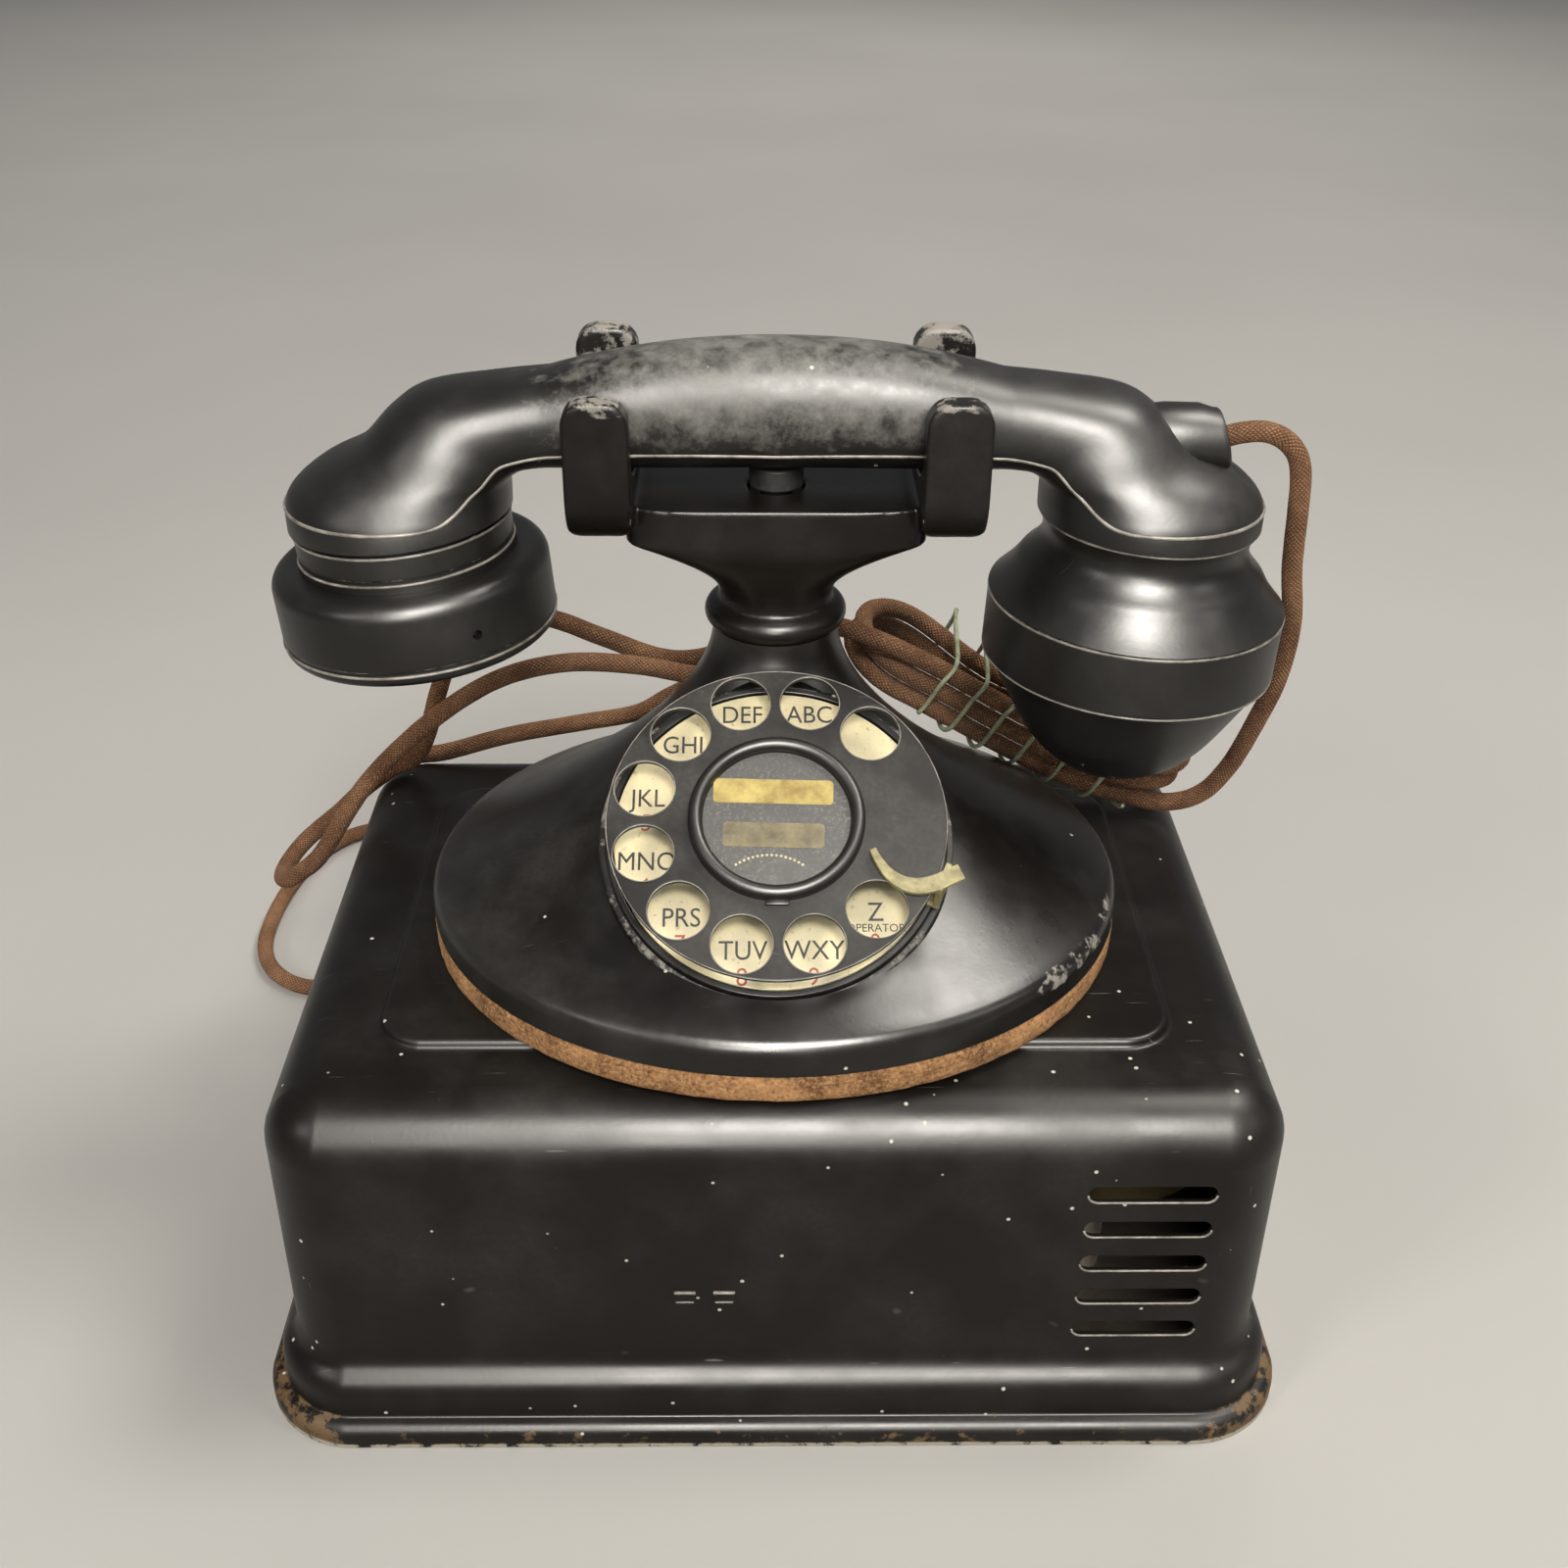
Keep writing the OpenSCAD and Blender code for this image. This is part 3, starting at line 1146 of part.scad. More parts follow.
mount_points = [
  [-bush_x, bush_out_y, bush_z], [-9, 80, 107], [-12.5, 87, 105.5], [-20, 90.5, 102.5], [-29, 89, 98.5],
      [-38, 84.5, 95.5],
  [-54, 79, 95.2], [-73, 75, 93.5], [-90, 72.5, 89.7], [-101, 76, 86], [-107, 84, 76], [-110, 91, 61],
      [-111, 96.5, 42],
  [-109, 100.5, 24], [-102, 102, 11], [-90, 101, 4.5], [-75, 100.4, lie_z], coil_start - [cord_d, 0, 0],
      coil_start,
];
end_points = [
  coil_end, coil_end - [cord_d, 0, 0], [-72, 170, 5], [-95, 172, lie_z], [-122, 172.5, lie_z], [-142,
      168, lie_z],
  [-153, 154, lie_z], [-158, 137, lie_z], [-160, 118, lie_z], [-159, 102, lie_z], [-154, 90, lie_z],
      [-145, 82, lie_z],
  [-135, 80.5, lie_z], [-126, 86, lie_z + 0.5], [-117, 93, 5], [-106, 95, 10], [-95, 96, 17.5], [-86, 96,
      25.5], [-81, 93.5, 29.5],
  [-80, 89, box_cord_z], [box_cord_x, box_d / 2 + bush_stand, box_cord_z],
];
hank_gap = self_gap(hank_route, cord_d, 6);
coil_gap_least = self_gap(coil_route, cord_d, 6);
tie_gap = self_gap(tie_route, tie_d, 6);
echo(hank_gap = hank_gap, coil_gap = coil_gap_least, tie_gap = tie_gap);
function total(p) = len(p) < 2 ? 0 : [for (i = 1, s = norm(p[1] - p[0]); i < len(p); i = i + 1,
    s = s + (i < len(p) ? norm(p[i] - p[i - 1]) : 0)) s][len(p) - 2];
echo(handset_cord_length = total(arc_route) + total(hank_route) + total(smooth_route(loop_points, 2)),
  mounting_cord_length = total(smooth_route(mount_points,
      2)) + total(coil_route) + total(smooth_route(end_points, 2)));
module handset_cord() {
  color(cloth_brown) tube(arc_route, cord_r, 10, boss_way, -hank_in_way);
}
module handset_cord_hank() {
  color(cloth_brown) tube(hank_route, cord_r, 6, -hank_in_way, hank_out_way);
}
module handset_cord_loop() {
  color(cloth_brown) tube(smooth_route(loop_points, 2), cord_r, 8, hank_out_way, [0, -1, 0]);
}
module hank_tie() {
  color(tie_green) tube(tie_route, tie_d / 2, 6);
}
module mounting_cord() {
  color(cloth_brown) tube(smooth_route(mount_points, 3), cord_r, 8, [0, 1, 0], [1, 0, 0]);
}
module mounting_cord_coil() {
  color(cloth_brown) tube(coil_route, cord_r, 6, [1, 0, 0], [-1, 0, 0]);
}
module mounting_cord_end() {
  color(cloth_brown) tube(smooth_route(end_points, 3), cord_r, 8, [-1, 0, 0], [0, -1, 0]);
}

box_cover();
box_base_plate();
cover_brackets();
cover_screws();
ringer_frame();
ringer_coils();
ringer_magnet();
gongs();
gong_posts();
gong_screws();
armature_pin();
armature();
clapper();
induction_coil();
condenser();
terminal_strip();
terminal_screws();
box_cord_bush();
leather_sole();
foot_plate();
foot_screws();
base_casting();
base_cord_bushes();
cradle();
plunger();
plunger_spring();
switch_bracket();
switch_springs();
dial_case();
number_plate();
finger_stop();
governor_bridge();
mainspring_drum();
finger_wheel();
card_ring();
number_card();
card_window();
dial_shaft();
main_gear();
governor_pinion();
governor_weights();
handset_handle();
receiver_case();
receiver_unit();
ear_cap();
transmitter_bell();
transmitter_unit();
mouthpiece();
handset_cord();
handset_cord_hank();
handset_cord_loop();
hank_tie();
mounting_cord();
mounting_cord_coil();
mounting_cord_end();
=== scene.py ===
"""Looks of the desk telephone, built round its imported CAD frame."""

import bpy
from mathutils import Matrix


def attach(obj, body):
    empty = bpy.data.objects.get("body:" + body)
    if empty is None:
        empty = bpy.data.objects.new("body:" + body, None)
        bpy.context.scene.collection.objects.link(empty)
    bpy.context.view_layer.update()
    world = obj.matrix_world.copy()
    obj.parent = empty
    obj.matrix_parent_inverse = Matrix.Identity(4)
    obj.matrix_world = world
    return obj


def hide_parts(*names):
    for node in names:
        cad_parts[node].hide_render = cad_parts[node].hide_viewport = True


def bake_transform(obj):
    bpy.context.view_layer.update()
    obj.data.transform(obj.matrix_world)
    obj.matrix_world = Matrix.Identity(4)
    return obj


bl_info = {
    "name": "Desk telephone",
    "version": (1, 0, 0),
    "blender": (4, 5, 0),
    "location": "3D View > Sidebar > Telephone",
    "description": "Desk set with a slanted dial on a steel bell box, with cloth cords",
    "category": "Add Mesh",
}

import math

import bmesh
import bpy
from bpy.props import FloatProperty, FloatVectorProperty, IntProperty, PointerProperty
from mathutils import Matrix, Vector, noise

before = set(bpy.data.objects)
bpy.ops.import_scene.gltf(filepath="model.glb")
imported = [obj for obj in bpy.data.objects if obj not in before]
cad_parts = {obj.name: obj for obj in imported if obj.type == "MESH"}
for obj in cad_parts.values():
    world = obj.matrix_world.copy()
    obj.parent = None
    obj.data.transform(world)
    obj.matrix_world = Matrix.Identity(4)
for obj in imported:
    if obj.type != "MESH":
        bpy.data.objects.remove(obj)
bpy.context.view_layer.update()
MM = 0.001
STAND, HANDSET, ROTOR, PLUNGER = "stand", "handset", "dial_rotor", "plunger"


def linear(code):
    """Linear RGBA of an sRGB hex colour."""
    parts = [int(code[i:i + 2], 16) / 255 for i in (1, 3, 5)]
    return tuple(c / 12.92 if c <= 0.04045 else ((c + 0.055) / 1.055) ** 2.4 for c in parts) + (1.0,)


# Sizes and colours that a user would change


def colour(name, code, text):
    """Colour property with an sRGB hex default."""
    return FloatVectorProperty(
        name=name, description=text, subtype="COLOR", size=4, min=0, max=1, default=linear(code))


def length(name, mm, text):
    """Length property with a default in millimetres."""
    return FloatProperty(name=name, description=text, default=mm * MM, min=0, unit="LENGTH", precision=5)


def angle(name, degrees, text):
    """Angle property with a default in degrees."""
    return FloatProperty(name=name, description=text, default=math.radians(degrees), subtype="ANGLE")


class TelephoneColours(bpy.types.PropertyGroup):
    """Colours of the telephone's finishes."""

    japan: colour("Black japan", "#15120f", "Stoved black paint on the steel and the casting")
    bakelite: colour("Bakelite", "#171513", "Moulded handset")
    haze: colour("Haze", "#84827b", "Grey bloom on old black surfaces")
    bare: colour("Bare metal", "#8d8880", "Metal where the paint is worn off")
    rust: colour("Rust", "#6b5334", "Rust and dirt at worn edges")
    enamel: colour("Enamel", "#f1e4b6", "Number plate")
    ink: colour("Letters", "#1b1a18", "Letters of the number plate")
    red: colour("Numerals", "#b5402c", "Numerals of the number plate")
    brass: colour("Brass", "#716b50", "Finger stop")
    leather: colour("Leather", "#d09b68", "Band under the casting")
    cloth: colour("Cloth", "#cc9a70", "Braid of the cords")
    tie: colour("Tie", "#b4ba9a", "Wire round the hank")
    slip: colour("Upper slip", "#efd97e", "Paper slip on the card")
    pale_slip: colour("Lower slip", "#aea076", "Faded slip on the card")


class TelephoneSizes(bpy.types.PropertyGroup):
    """Sizes of what the looks add."""

    cord_d: length("Cord diameter", 4.7, "Diameter of the cloth cords")
    tie_d: length("Tie diameter", 1.2, "Diameter of the wire round the hank")
    letter_h: length("Letter height", 4.3, "Height of the dial's letters")
    numeral_h: length("Numeral height", 4.0, "Height of the dial's numerals")
    ridge_d: length("Parting ridge", 0.8, "Width of the mould's parting ridge")
    turn_steps: IntProperty(name="Turned steps", description="Steps of a turned piece", default=128, min=24, max=256)


class TelephoneStage(bpy.types.PropertyGroup):
    """Camera of the stage."""

    place: FloatVectorProperty(
        name="Camera", description="Place of the camera", subtype="TRANSLATION", unit="LENGTH",
        default=(-0.00413, -0.35599, 0.33588))
    lens: FloatProperty(name="Lens", description="Focal length", default=40.97, unit="CAMERA")
    pitch: angle("Pitch", 30.9, "Tilt below the horizon")
    yaw: angle("Yaw", 1.0, "Turn to the right")
    roll: angle("Roll", 0.55, "Roll of the camera")


def colours():
    return bpy.context.scene.telephone_colours


def sizes():
    return bpy.context.scene.telephone_sizes


# Materials


def feed(tree, node, **inputs):
    """Values and links of a node's inputs; i3 names the fourth one."""
    for key, value in inputs.items():
        socket = node.inputs[int(key[1:])] if key[1:].isdigit() else node.inputs[key.replace("_", " ")]
        if isinstance(value, bpy.types.NodeSocket):
            tree.links.new(value, socket)
        else:
            socket.default_value = value


def add(tree, kind, settings=None, **inputs):
    """New shader node with its settings, values and links."""
    made = tree.nodes.new("ShaderNode" + kind)
    for key, value in (settings or {}).items():
        setattr(made, key, value)
    feed(tree, made, **inputs)
    return made


def start_material(name):
    """New material: its tree, its shader and Object coordinates."""
    made = bpy.data.materials.new(name)
    made.use_nodes = True
    tree = made.node_tree
    return made, tree, tree.nodes["Principled BSDF"], add(tree, "TexCoord").outputs["Object"]


def cloud(tree, coords, scale, detail, rough=0.5):
    """Noise with so many cells per metre."""
    return add(tree, "TexNoise", None, Vector=coords, Scale=scale, Detail=detail, Roughness=rough).outputs[0]


def spread(tree, value, low, high, to_low=0.0, to_high=1.0):
    """Value mapped from one range to another and held inside it."""
    return add(tree, "MapRange", None, i0=value, i1=low, i2=high, i3=to_low, i4=to_high).outputs[0]


def mixed(tree, share, a, b):
    """Colour between two colours."""
    return add(tree, "Mix", {"data_type": "RGBA"}, i0=share, i6=a, i7=b).outputs[2]


def maths(tree, operation, a, b):
    return add(tree, "Math", {"operation": operation}, i0=a, i1=b).outputs[0]


def times(tree, a, b):
    return maths(tree, "MULTIPLY", a, b)


def bumped(tree, shader, strength, depth, height):
    """Bump on a shader, with its depth in metres."""
    bump = add(tree, "Bump", None, Strength=strength, Distance=depth, Height=height)
    feed(tree, shader, Normal=bump.outputs[0])


# Sum of the wear share and chip noise at which half of the surface takes the pale colour: bare paint, and on the grip
# and some edges painted sheen and highlight
WORN_AT = 1.06


def black_finish(name, base, rough, haze, speck, scratch, wear_to, gloss=0.3, fade=0.08):
    """Old black surface: grey bloom in patches, white paint specks, hairline scratches and worn edges; where a rule
    gives it, the wear share also paints sheen and highlight.
    """
    made, tree, shader, coords = start_material(name)
    broad, fine = cloud(tree, coords, 26.0, 6.0, 0.62), cloud(tree, coords, 900.0, 3.0)
    bloom = times(tree, spread(tree, broad, 0.46, 0.72), haze)
    bloom = times(tree, bloom, spread(tree, fine, 0.3, 0.7, 0.5, 1.0))
    # Specks of wall paint up to 1 mm across, in 7 mm cells
    cells = add(tree, "TexVoronoi", None, Vector=coords, Scale=140.0)
    spot = spread(tree, cells.outputs["Distance"], 0.05, 0.075, 1.0, 0.0)
    chosen = add(tree, "SeparateColor", None, Color=cells.outputs["Color"]).outputs[0]
    spot = times(tree, spot, spread(tree, chosen, 1.0 - speck, 1.001 - speck))
    # Hairlines: noise drawn out to lines about 0.1 mm wide and 10 mm long
    lines = []
    for turn, wide in ((0.5, 2300.0), (2.2, 2700.0)):
        drawn = add(tree, "Mapping", None, Vector=coords, Rotation=(0.4, turn, turn), Scale=(95.0, wide, 95.0))
        lines.append(spread(tree, cloud(tree, drawn.outputs[0], 1.0, 1.0), 0.78, 0.84))
    hair = times(tree, maths(tree, "MAXIMUM", *lines), scratch)
    share = add(tree, "Attribute", {"attribute_name": "wear"}).outputs["Fac"]
    chipped = maths(tree, "ADD", share, cloud(tree, coords, 210.0, 5.0, 0.7))
    worn = spread(tree, chipped, WORN_AT - fade / 2, WORN_AT + fade / 2)
    grey = tuple(colours().haze)
    tone = mixed(tree, bloom, tuple(base), grey)
    tone = mixed(tree, times(tree, hair, 0.5), tone, grey)
    # Pale colour of high shares: bare paint, and painted highlight where the share stands for one
    bared_and_painted_highlight = mixed(tree, spread(tree, share, 0.57, 0.62), tuple(wear_to), linear("#aca697"))
    tone = mixed(tree, spot, mixed(tree, worn, tone, bared_and_painted_highlight), linear("#cfcabd"))
    dull = spread(tree, broad, 0.35, 0.7, rough, rough + 0.16)
    for value, weight in ((bloom, 0.5), (maths(tree, "ADD", worn, spot), 0.25)):
        dull = maths(tree, "ADD", dull, times(tree, value, weight))
    bumped(tree, shader, 0.05, 0.0004, maths(tree, "SUBTRACT", fine, times(tree, hair, 0.8)))
    feed(tree, shader, Base_Color=tone, Roughness=maths(tree, "MINIMUM", dull, 0.85), IOR=1.52,
         Specular_IOR_Level=gloss)
    return made


def metal(name, base, rough, stain):
    """Old plated or raw metal with stains and a fine grain."""
    made, tree, shader, coords = start_material(name)
    broad, fine = cloud(tree, coords, 70.0, 5.0), cloud(tree, coords, 900.0, 3.0)
    dull = maths(tree, "ADD", spread(tree, broad, 0.3, 0.7, rough - 0.08, rough + 0.2),
                 spread(tree, fine, 0.3, 0.7, -0.05, 0.05))
    bumped(tree, shader, 0.12, 0.0003, fine)
    feed(tree, shader, Base_Color=mixed(tree, spread(tree, broad, 0.42, 0.68, 0.0, 0.75), base, stain),
         Roughness=dull, Metallic=1.0)
    return made


def dull_solid(name, base, second, scale, rough, depth):
    """Matt stuff with two tones and a grain: fibre board, wax winding, rubber, paper."""
    made, tree, shader, coords = start_material(name)
    grain = cloud(tree, coords, scale, 6.0, 0.65)
    bumped(tree, shader, 0.35, depth * MM, grain)
    feed(tree, shader, Base_Color=mixed(tree, spread(tree, grain, 0.35, 0.68), base, second),
         Roughness=spread(tree, grain, 0.3, 0.7, rough - 0.1, rough + 0.1), Specular_IOR_Level=0.2)
    return made


def enamel_finish():
    """Vitreous enamel, fired on steel: glossy cream with stains and brown age spots."""
    made, tree, shader, coords = start_material("aged_cream_enamel")
    broad, fine = cloud(tree, coords, 120.0, 6.0, 0.7), cloud(tree, coords, 700.0, 4.0)
    tone = mixed(tree, spread(tree, broad, 0.45, 0.72, 0.0, 0.5), tuple(colours().enamel), linear("#cbb47c"))
    tone = mixed(tree, spread(tree, fine, 0.62, 0.74, 0.0, 0.5), tone, linear("#8a6f42"))
    feed(tree, shader, Base_Color=tone, Roughness=spread(tree, broad, 0.3, 0.7, 0.22, 0.5))
    return made


def leather_finish():
    """Split leather, raw edge: fuzzy brown nap with dark grease, and pale flecks on the nap that are pale fibres with
    painted highlight on them.
    """
    made, tree, shader, coords = start_material("raw_edge_leather")
    nap, patch = cloud(tree, coords, 1100.0, 5.0, 0.7), cloud(tree, coords, 90.0, 6.0, 0.7)
    flat = add(tree, "Mapping", None, Vector=coords, Scale=(60.0, 60.0, 900.0))
    layer = cloud(tree, flat.outputs[0], 1.0, 4.0)
    tone = mixed(tree, spread(tree, patch, 0.34, 0.66), linear("#7a5333"), tuple(colours().leather))
    # Pale flecks on the nap: pale fibres, with painted highlight on them
    tone = mixed(tree, spread(tree, nap, 0.5, 0.68, 0.0, 0.85), tone, linear("#d8ad78"))
    tone = mixed(tree, spread(tree, nap, 0.34, 0.46, 0.75, 0.0), tone, linear("#4a2f1c"))
    tone = mixed(tree, spread(tree, layer, 0.55, 0.75, 0.0, 0.6), tone, linear("#3a2416"))
    bumped(tree, shader, 0.7, 0.0006, maths(tree, "ADD", nap, times(tree, layer, 0.7)))
    feed(tree, shader, Base_Color=tone, Roughness=0.92, Specular_IOR_Level=0.1)
    return made


def braid_finish():
    """Cotton braid over the cord: two sets of plaited strands, about 15 each way round, brown and faded, with painted
    shade between the strands.
    """
    made, tree, shader, coords = start_material("brown_cotton_braid")
    lie = add(tree, "TexCoord").outputs["UV"]
    strands = []
    for turn in (0.85, -0.85):
        way = add(tree, "Mapping", None, Vector=lie, Rotation=(0, 0, turn)).outputs[0]
        wave = add(tree, "TexWave", None, Vector=way, Scale=0.42, Distortion=0.4, Detail=1.0)
        strands.append(wave.outputs[1])
    plait = times(tree, *strands)
    fade, fuzz = cloud(tree, coords, 55.0, 5.0, 0.65), cloud(tree, coords, 1600.0, 3.0)
    tone = mixed(tree, spread(tree, fade, 0.35, 0.68), linear("#825639"), tuple(colours().cloth))
    # Painted shade: darker where the strands dip, between them
    tone = mixed(tree, spread(tree, plait, 0.05, 0.45, 0.75, 0.0), tone, linear("#3a2418"))
    tone = mixed(tree, spread(tree, fuzz, 0.55, 0.8, 0.0, 0.55), tone, linear("#c99a70"))
    bumped(tree, shader, 0.8, 0.0005, maths(tree, "ADD", plait, times(tree, fuzz, 0.35)))
    feed(tree, shader, Base_Color=tone, Roughness=0.9, Specular_IOR_Level=0.1)
    return made


def card_finish():
    """Black card behind clear sheet: dusty, with fine grey grains."""
    made, tree, shader, coords = start_material("dusty_black_card")
    dust, patch = cloud(tree, coords, 1500.0, 4.0, 0.7), cloud(tree, coords, 130.0, 4.0)
    share = times(tree, spread(tree, dust, 0.52, 0.66), spread(tree, patch, 0.35, 0.65, 0.25, 0.85))
    feed(tree, shader, Base_Color=mixed(tree, share, linear("#1a1916"), linear("#86806f")), Roughness=0.55)
    return made


def clear_finish():
    """Celluloid sheet: clear, a little yellow, seen by its gloss."""
    made, tree, shader, coords = start_material("old_celluloid")
    dull = spread(tree, cloud(tree, coords, 400.0, 5.0), 0.35, 0.7, 0.12, 0.4)
    feed(tree, shader, Base_Color=linear("#2a2721"), Roughness=dull, Alpha=0.08, IOR=1.5)
    return made


def stained_paper(name, base, stain):
    """Paper slip, yellowed, with grease spots."""
    return dull_solid(name, base, stain, 240.0, 0.62, 0.05)


def make_materials():
    """All finishes by name."""
    c = colours()
    return {
        "japan": black_finish("worn_black_japan", c.japan, 0.31, 0.06, 0.9, 1.0, c.rust, 0.17),
        "casting": black_finish("black_japan_on_casting", c.japan, 0.26, 0.1, 0.25, 0.4, c.bare),
        "cradle": black_finish("black_japan_on_cradle", c.japan, 0.26, 0.06, 0.2, 0.3, c.bare, 0.16),
        "wheel": black_finish("satin_black_enamel", c.japan, 0.38, 0.28, 0.3, 0.4, c.bare, 0.13),
        "bakelite": black_finish("black_bakelite", c.bakelite, 0.30, 0.05, 0.1, 0.3, c.haze),
        # The grip's grey patches are painted sheen as well as bloom
        "grip": black_finish("handled_bakelite_painted_sheen", c.bakelite, 0.33, 0.10, 0.1, 0.3, c.haze, 0.3, 0.46),
        "steel": metal("dull_steel", linear("#a09c94"), 0.42, linear("#6b5f50")),
        "dark_steel": metal("blued_steel", linear("#5a5650"), 0.5, linear("#3a332b")),
        # Brass darkened well below its own colour: painted shade inside the box
        "gong": metal("gong_brass_painted_shade", linear("#473f2c"), 0.5, linear("#2f2819")),
        "brass": metal("aged_brass", tuple(c.brass), 0.5, linear("#4f4a2e")),
        "stop": dull_solid("tarnished_brass", linear("#b8ad7c"), linear("#736a42"), 300.0, 0.5, 0.1),
        # Pale edges and beads: worn paint, and painted highlight along edges that catch the light
        "edge_wear_and_highlight": dull_solid("pale_edge_wear_and_highlight", linear("#aea89e"), linear("#56514a"), 150.0, 0.42, 0.05),
        "enamel": enamel_finish(),
        "leather": leather_finish(),
        "cloth": braid_finish(),
        "tie": dull_solid("green_enamelled_wire", tuple(c.tie), linear("#7d8468"), 260.0, 0.45, 0.1),
        "winding": dull_solid("waxed_red_winding", linear("#7a3f26"), linear("#4e2416"), 420.0, 0.6, 0.2),
        "fibre": dull_solid("fibre_board", linear("#4a3526"), linear("#2c1f16"), 300.0, 0.7, 0.15),
        "rubber": dull_solid("moulded_black_rubber", linear("#1c1b1a"), linear("#2f2d2a"), 350.0, 0.6, 0.1),
        "card": card_finish(),
        "clear": clear_finish(),
        "slip": stained_paper("yellow_paper", tuple(c.slip), linear("#b0924a")),
        "pale_slip": stained_paper("faded_paper", tuple(c.pale_slip), linear("#6f674e")),
        "ink": dull_solid("black_plate_ink", tuple(c.ink), linear("#3a362e"), 500.0, 0.5, 0.01),
        "red": dull_solid("red_plate_ink", tuple(c.red), linear("#c46a4c"), 500.0, 0.5, 0.01),
    }


FINISH = {}


# Pieces


def place_piece(name, mesh, finish, body, slot, replaced, sharp):
    """New object of a mesh: its finish, its smooth shading, its body and the nodes that it stands for."""
    made = raw_object(name, mesh)
    mesh.materials.clear()
    mesh.materials.append(FINISH[finish])
    if sharp:
        smooth_shaded(mesh, sharp)
    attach(made, body)
    if replaced:
        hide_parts(*replaced)
    return made


def mesh_of(name, bm):
    """Mesh of a finished bmesh."""
    made = bpy.data.meshes.new(name)
    bm.to_mesh(made)
    bm.free()
    return made


def built(name, bm, *rest):
    """Piece of a finished bmesh."""
    return place_piece(name, mesh_of(name, bm), *rest)


def add_mesh(bm, mesh):
    """Adds a mesh to a bmesh; the mesh goes."""
    bm.from_mesh(mesh)
    bpy.data.meshes.remove(mesh)


def rounded(bm, edges, radius, steps):
    """Rounds edges of a bmesh by a radius in mm."""
    bmesh.ops.bevel(bm, geom=edges, offset=radius * MM, segments=steps, profile=0.5, affect="EDGES", material=-1)


def finished_mesh(made, name):
    """Mesh of an object with its modifiers applied; the object goes."""
    bpy.context.view_layer.update()
    graph = bpy.context.evaluated_depsgraph_get()
    mesh = bpy.data.meshes.new_from_object(made.evaluated_get(graph))
    mesh.name = name
    bpy.data.objects.remove(made)
    return mesh


def raw_object(name, mesh):
    made = bpy.data.objects.new(name, mesh)
    bpy.context.scene.collection.objects.link(made)
    return made


def node_copy(node):
    """Merged copy of a CAD node's mesh, with flat areas joined to single faces."""
    bm = bmesh.new()
    bm.from_mesh(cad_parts[node].data)
    bmesh.ops.remove_doubles(bm, verts=bm.verts, dist=1e-6)
    bmesh.ops.dissolve_limit(bm, angle_limit=math.radians(0.4), verts=bm.verts, edges=bm.edges)
    return bm


def smooth_shaded(mesh, sharp):
    """Smooth shading, broken at edges sharper than an angle in degrees."""
    mesh.shade_smooth()
    mesh.set_sharp_from_angle(angle=math.radians(sharp))


def soften(made, radius, limit=40):
    """Small rounds on an object's edges, and shading that keeps flat faces flat."""
    cut = made.modifiers.new("edges", "BEVEL")
    cut.width, cut.segments, cut.limit_method = radius, 2, "ANGLE"
    cut.angle_limit = math.radians(limit)
    even = made.modifiers.new("shading", "WEIGHTED_NORMAL")
    even.keep_sharp = True


def copied_piece(node, finish, body, slot, edge):
    """Smooth copy of a node with rounded edges, which stands for it."""
    made = raw_object(node + "_raw", mesh_of(node + "_raw", node_copy(node)))
    smooth_shaded(made.data, 40)
    soften(made, edge)
    return place_piece(node + "_look", finished_mesh(made, node + "_look"), finish, body, slot, (node,), 0)


def remeshed_piece(node, finish, body, slot, voxel, passes):
    """Node remeshed and smoothed, so that its edges are round as on a painted casting."""
    bm = node_copy(node)
    bmesh.ops.triangulate(bm, faces=bm.faces)
    made = raw_object(node + "_raw", mesh_of(node + "_raw", bm))
    fine = made.modifiers.new("voxels", "REMESH")
    fine.mode, fine.voxel_size, fine.use_smooth_shade = "VOXEL", voxel, True
    rounds = made.modifiers.new("rounds", "SMOOTH")
    rounds.factor, rounds.iterations = 0.5, passes
    return place_piece(node + "_look", finished_mesh(made, node + "_look"), finish, body, slot, (node,), 180)


def cut_with(made, cutter):
    """Boolean that takes a cutter off an object."""
    cut = made.modifiers.new("cut", "BOOLEAN")
    cut.object, cut.operation, cut.solver = cutter, "DIFFERENCE", "EXACT"


def drilled(body, tool, name):
    """Mesh of one solid less another."""
    made, cutter = (raw_object(key, mesh_of(key, bm)) for key, bm in (("body_raw", body), ("tool_raw", tool)))
    cut_with(made, cutter)
    mesh = finished_mesh(made, name)
    bpy.data.objects.remove(cutter)
    return mesh


def set_wear_and_painted_light(made, rule):
    """Writes the share of wear at each vertex, which the black finishes read; on the grip's top and on some edges the
    share also paints sheen and highlight.
    """
    layer = made.data.attributes.get("wear") or made.data.attributes.new("wear", "FLOAT", "POINT")
    layer.data.foreach_set("value", [rule(v.co / MM, v.normal) for v in made.data.vertices])


def turned(profile, place, steps):
    """Turned solid: a profile of (radius, height) in mm spun about the upright axis of a place."""
    bm = bmesh.new()
    row = [bm.verts.new((r * MM, 0, z * MM)) for r, z in profile]
    edges = [bm.edges.new(pair) for pair in zip(row, row[1:] + row[:1])]
    bmesh.ops.spin(bm, geom=row + edges, cent=(0, 0, 0), axis=(0, 0, 1), angle=math.tau, steps=steps, use_merge=True)
    bmesh.ops.remove_doubles(bm, verts=bm.verts, dist=2e-6)
    bmesh.ops.dissolve_degenerate(bm, edges=bm.edges, dist=1e-7)
    bmesh.ops.recalc_face_normals(bm, faces=bm.faces)
    bmesh.ops.transform(bm, matrix=place, verts=bm.verts)
    return bm


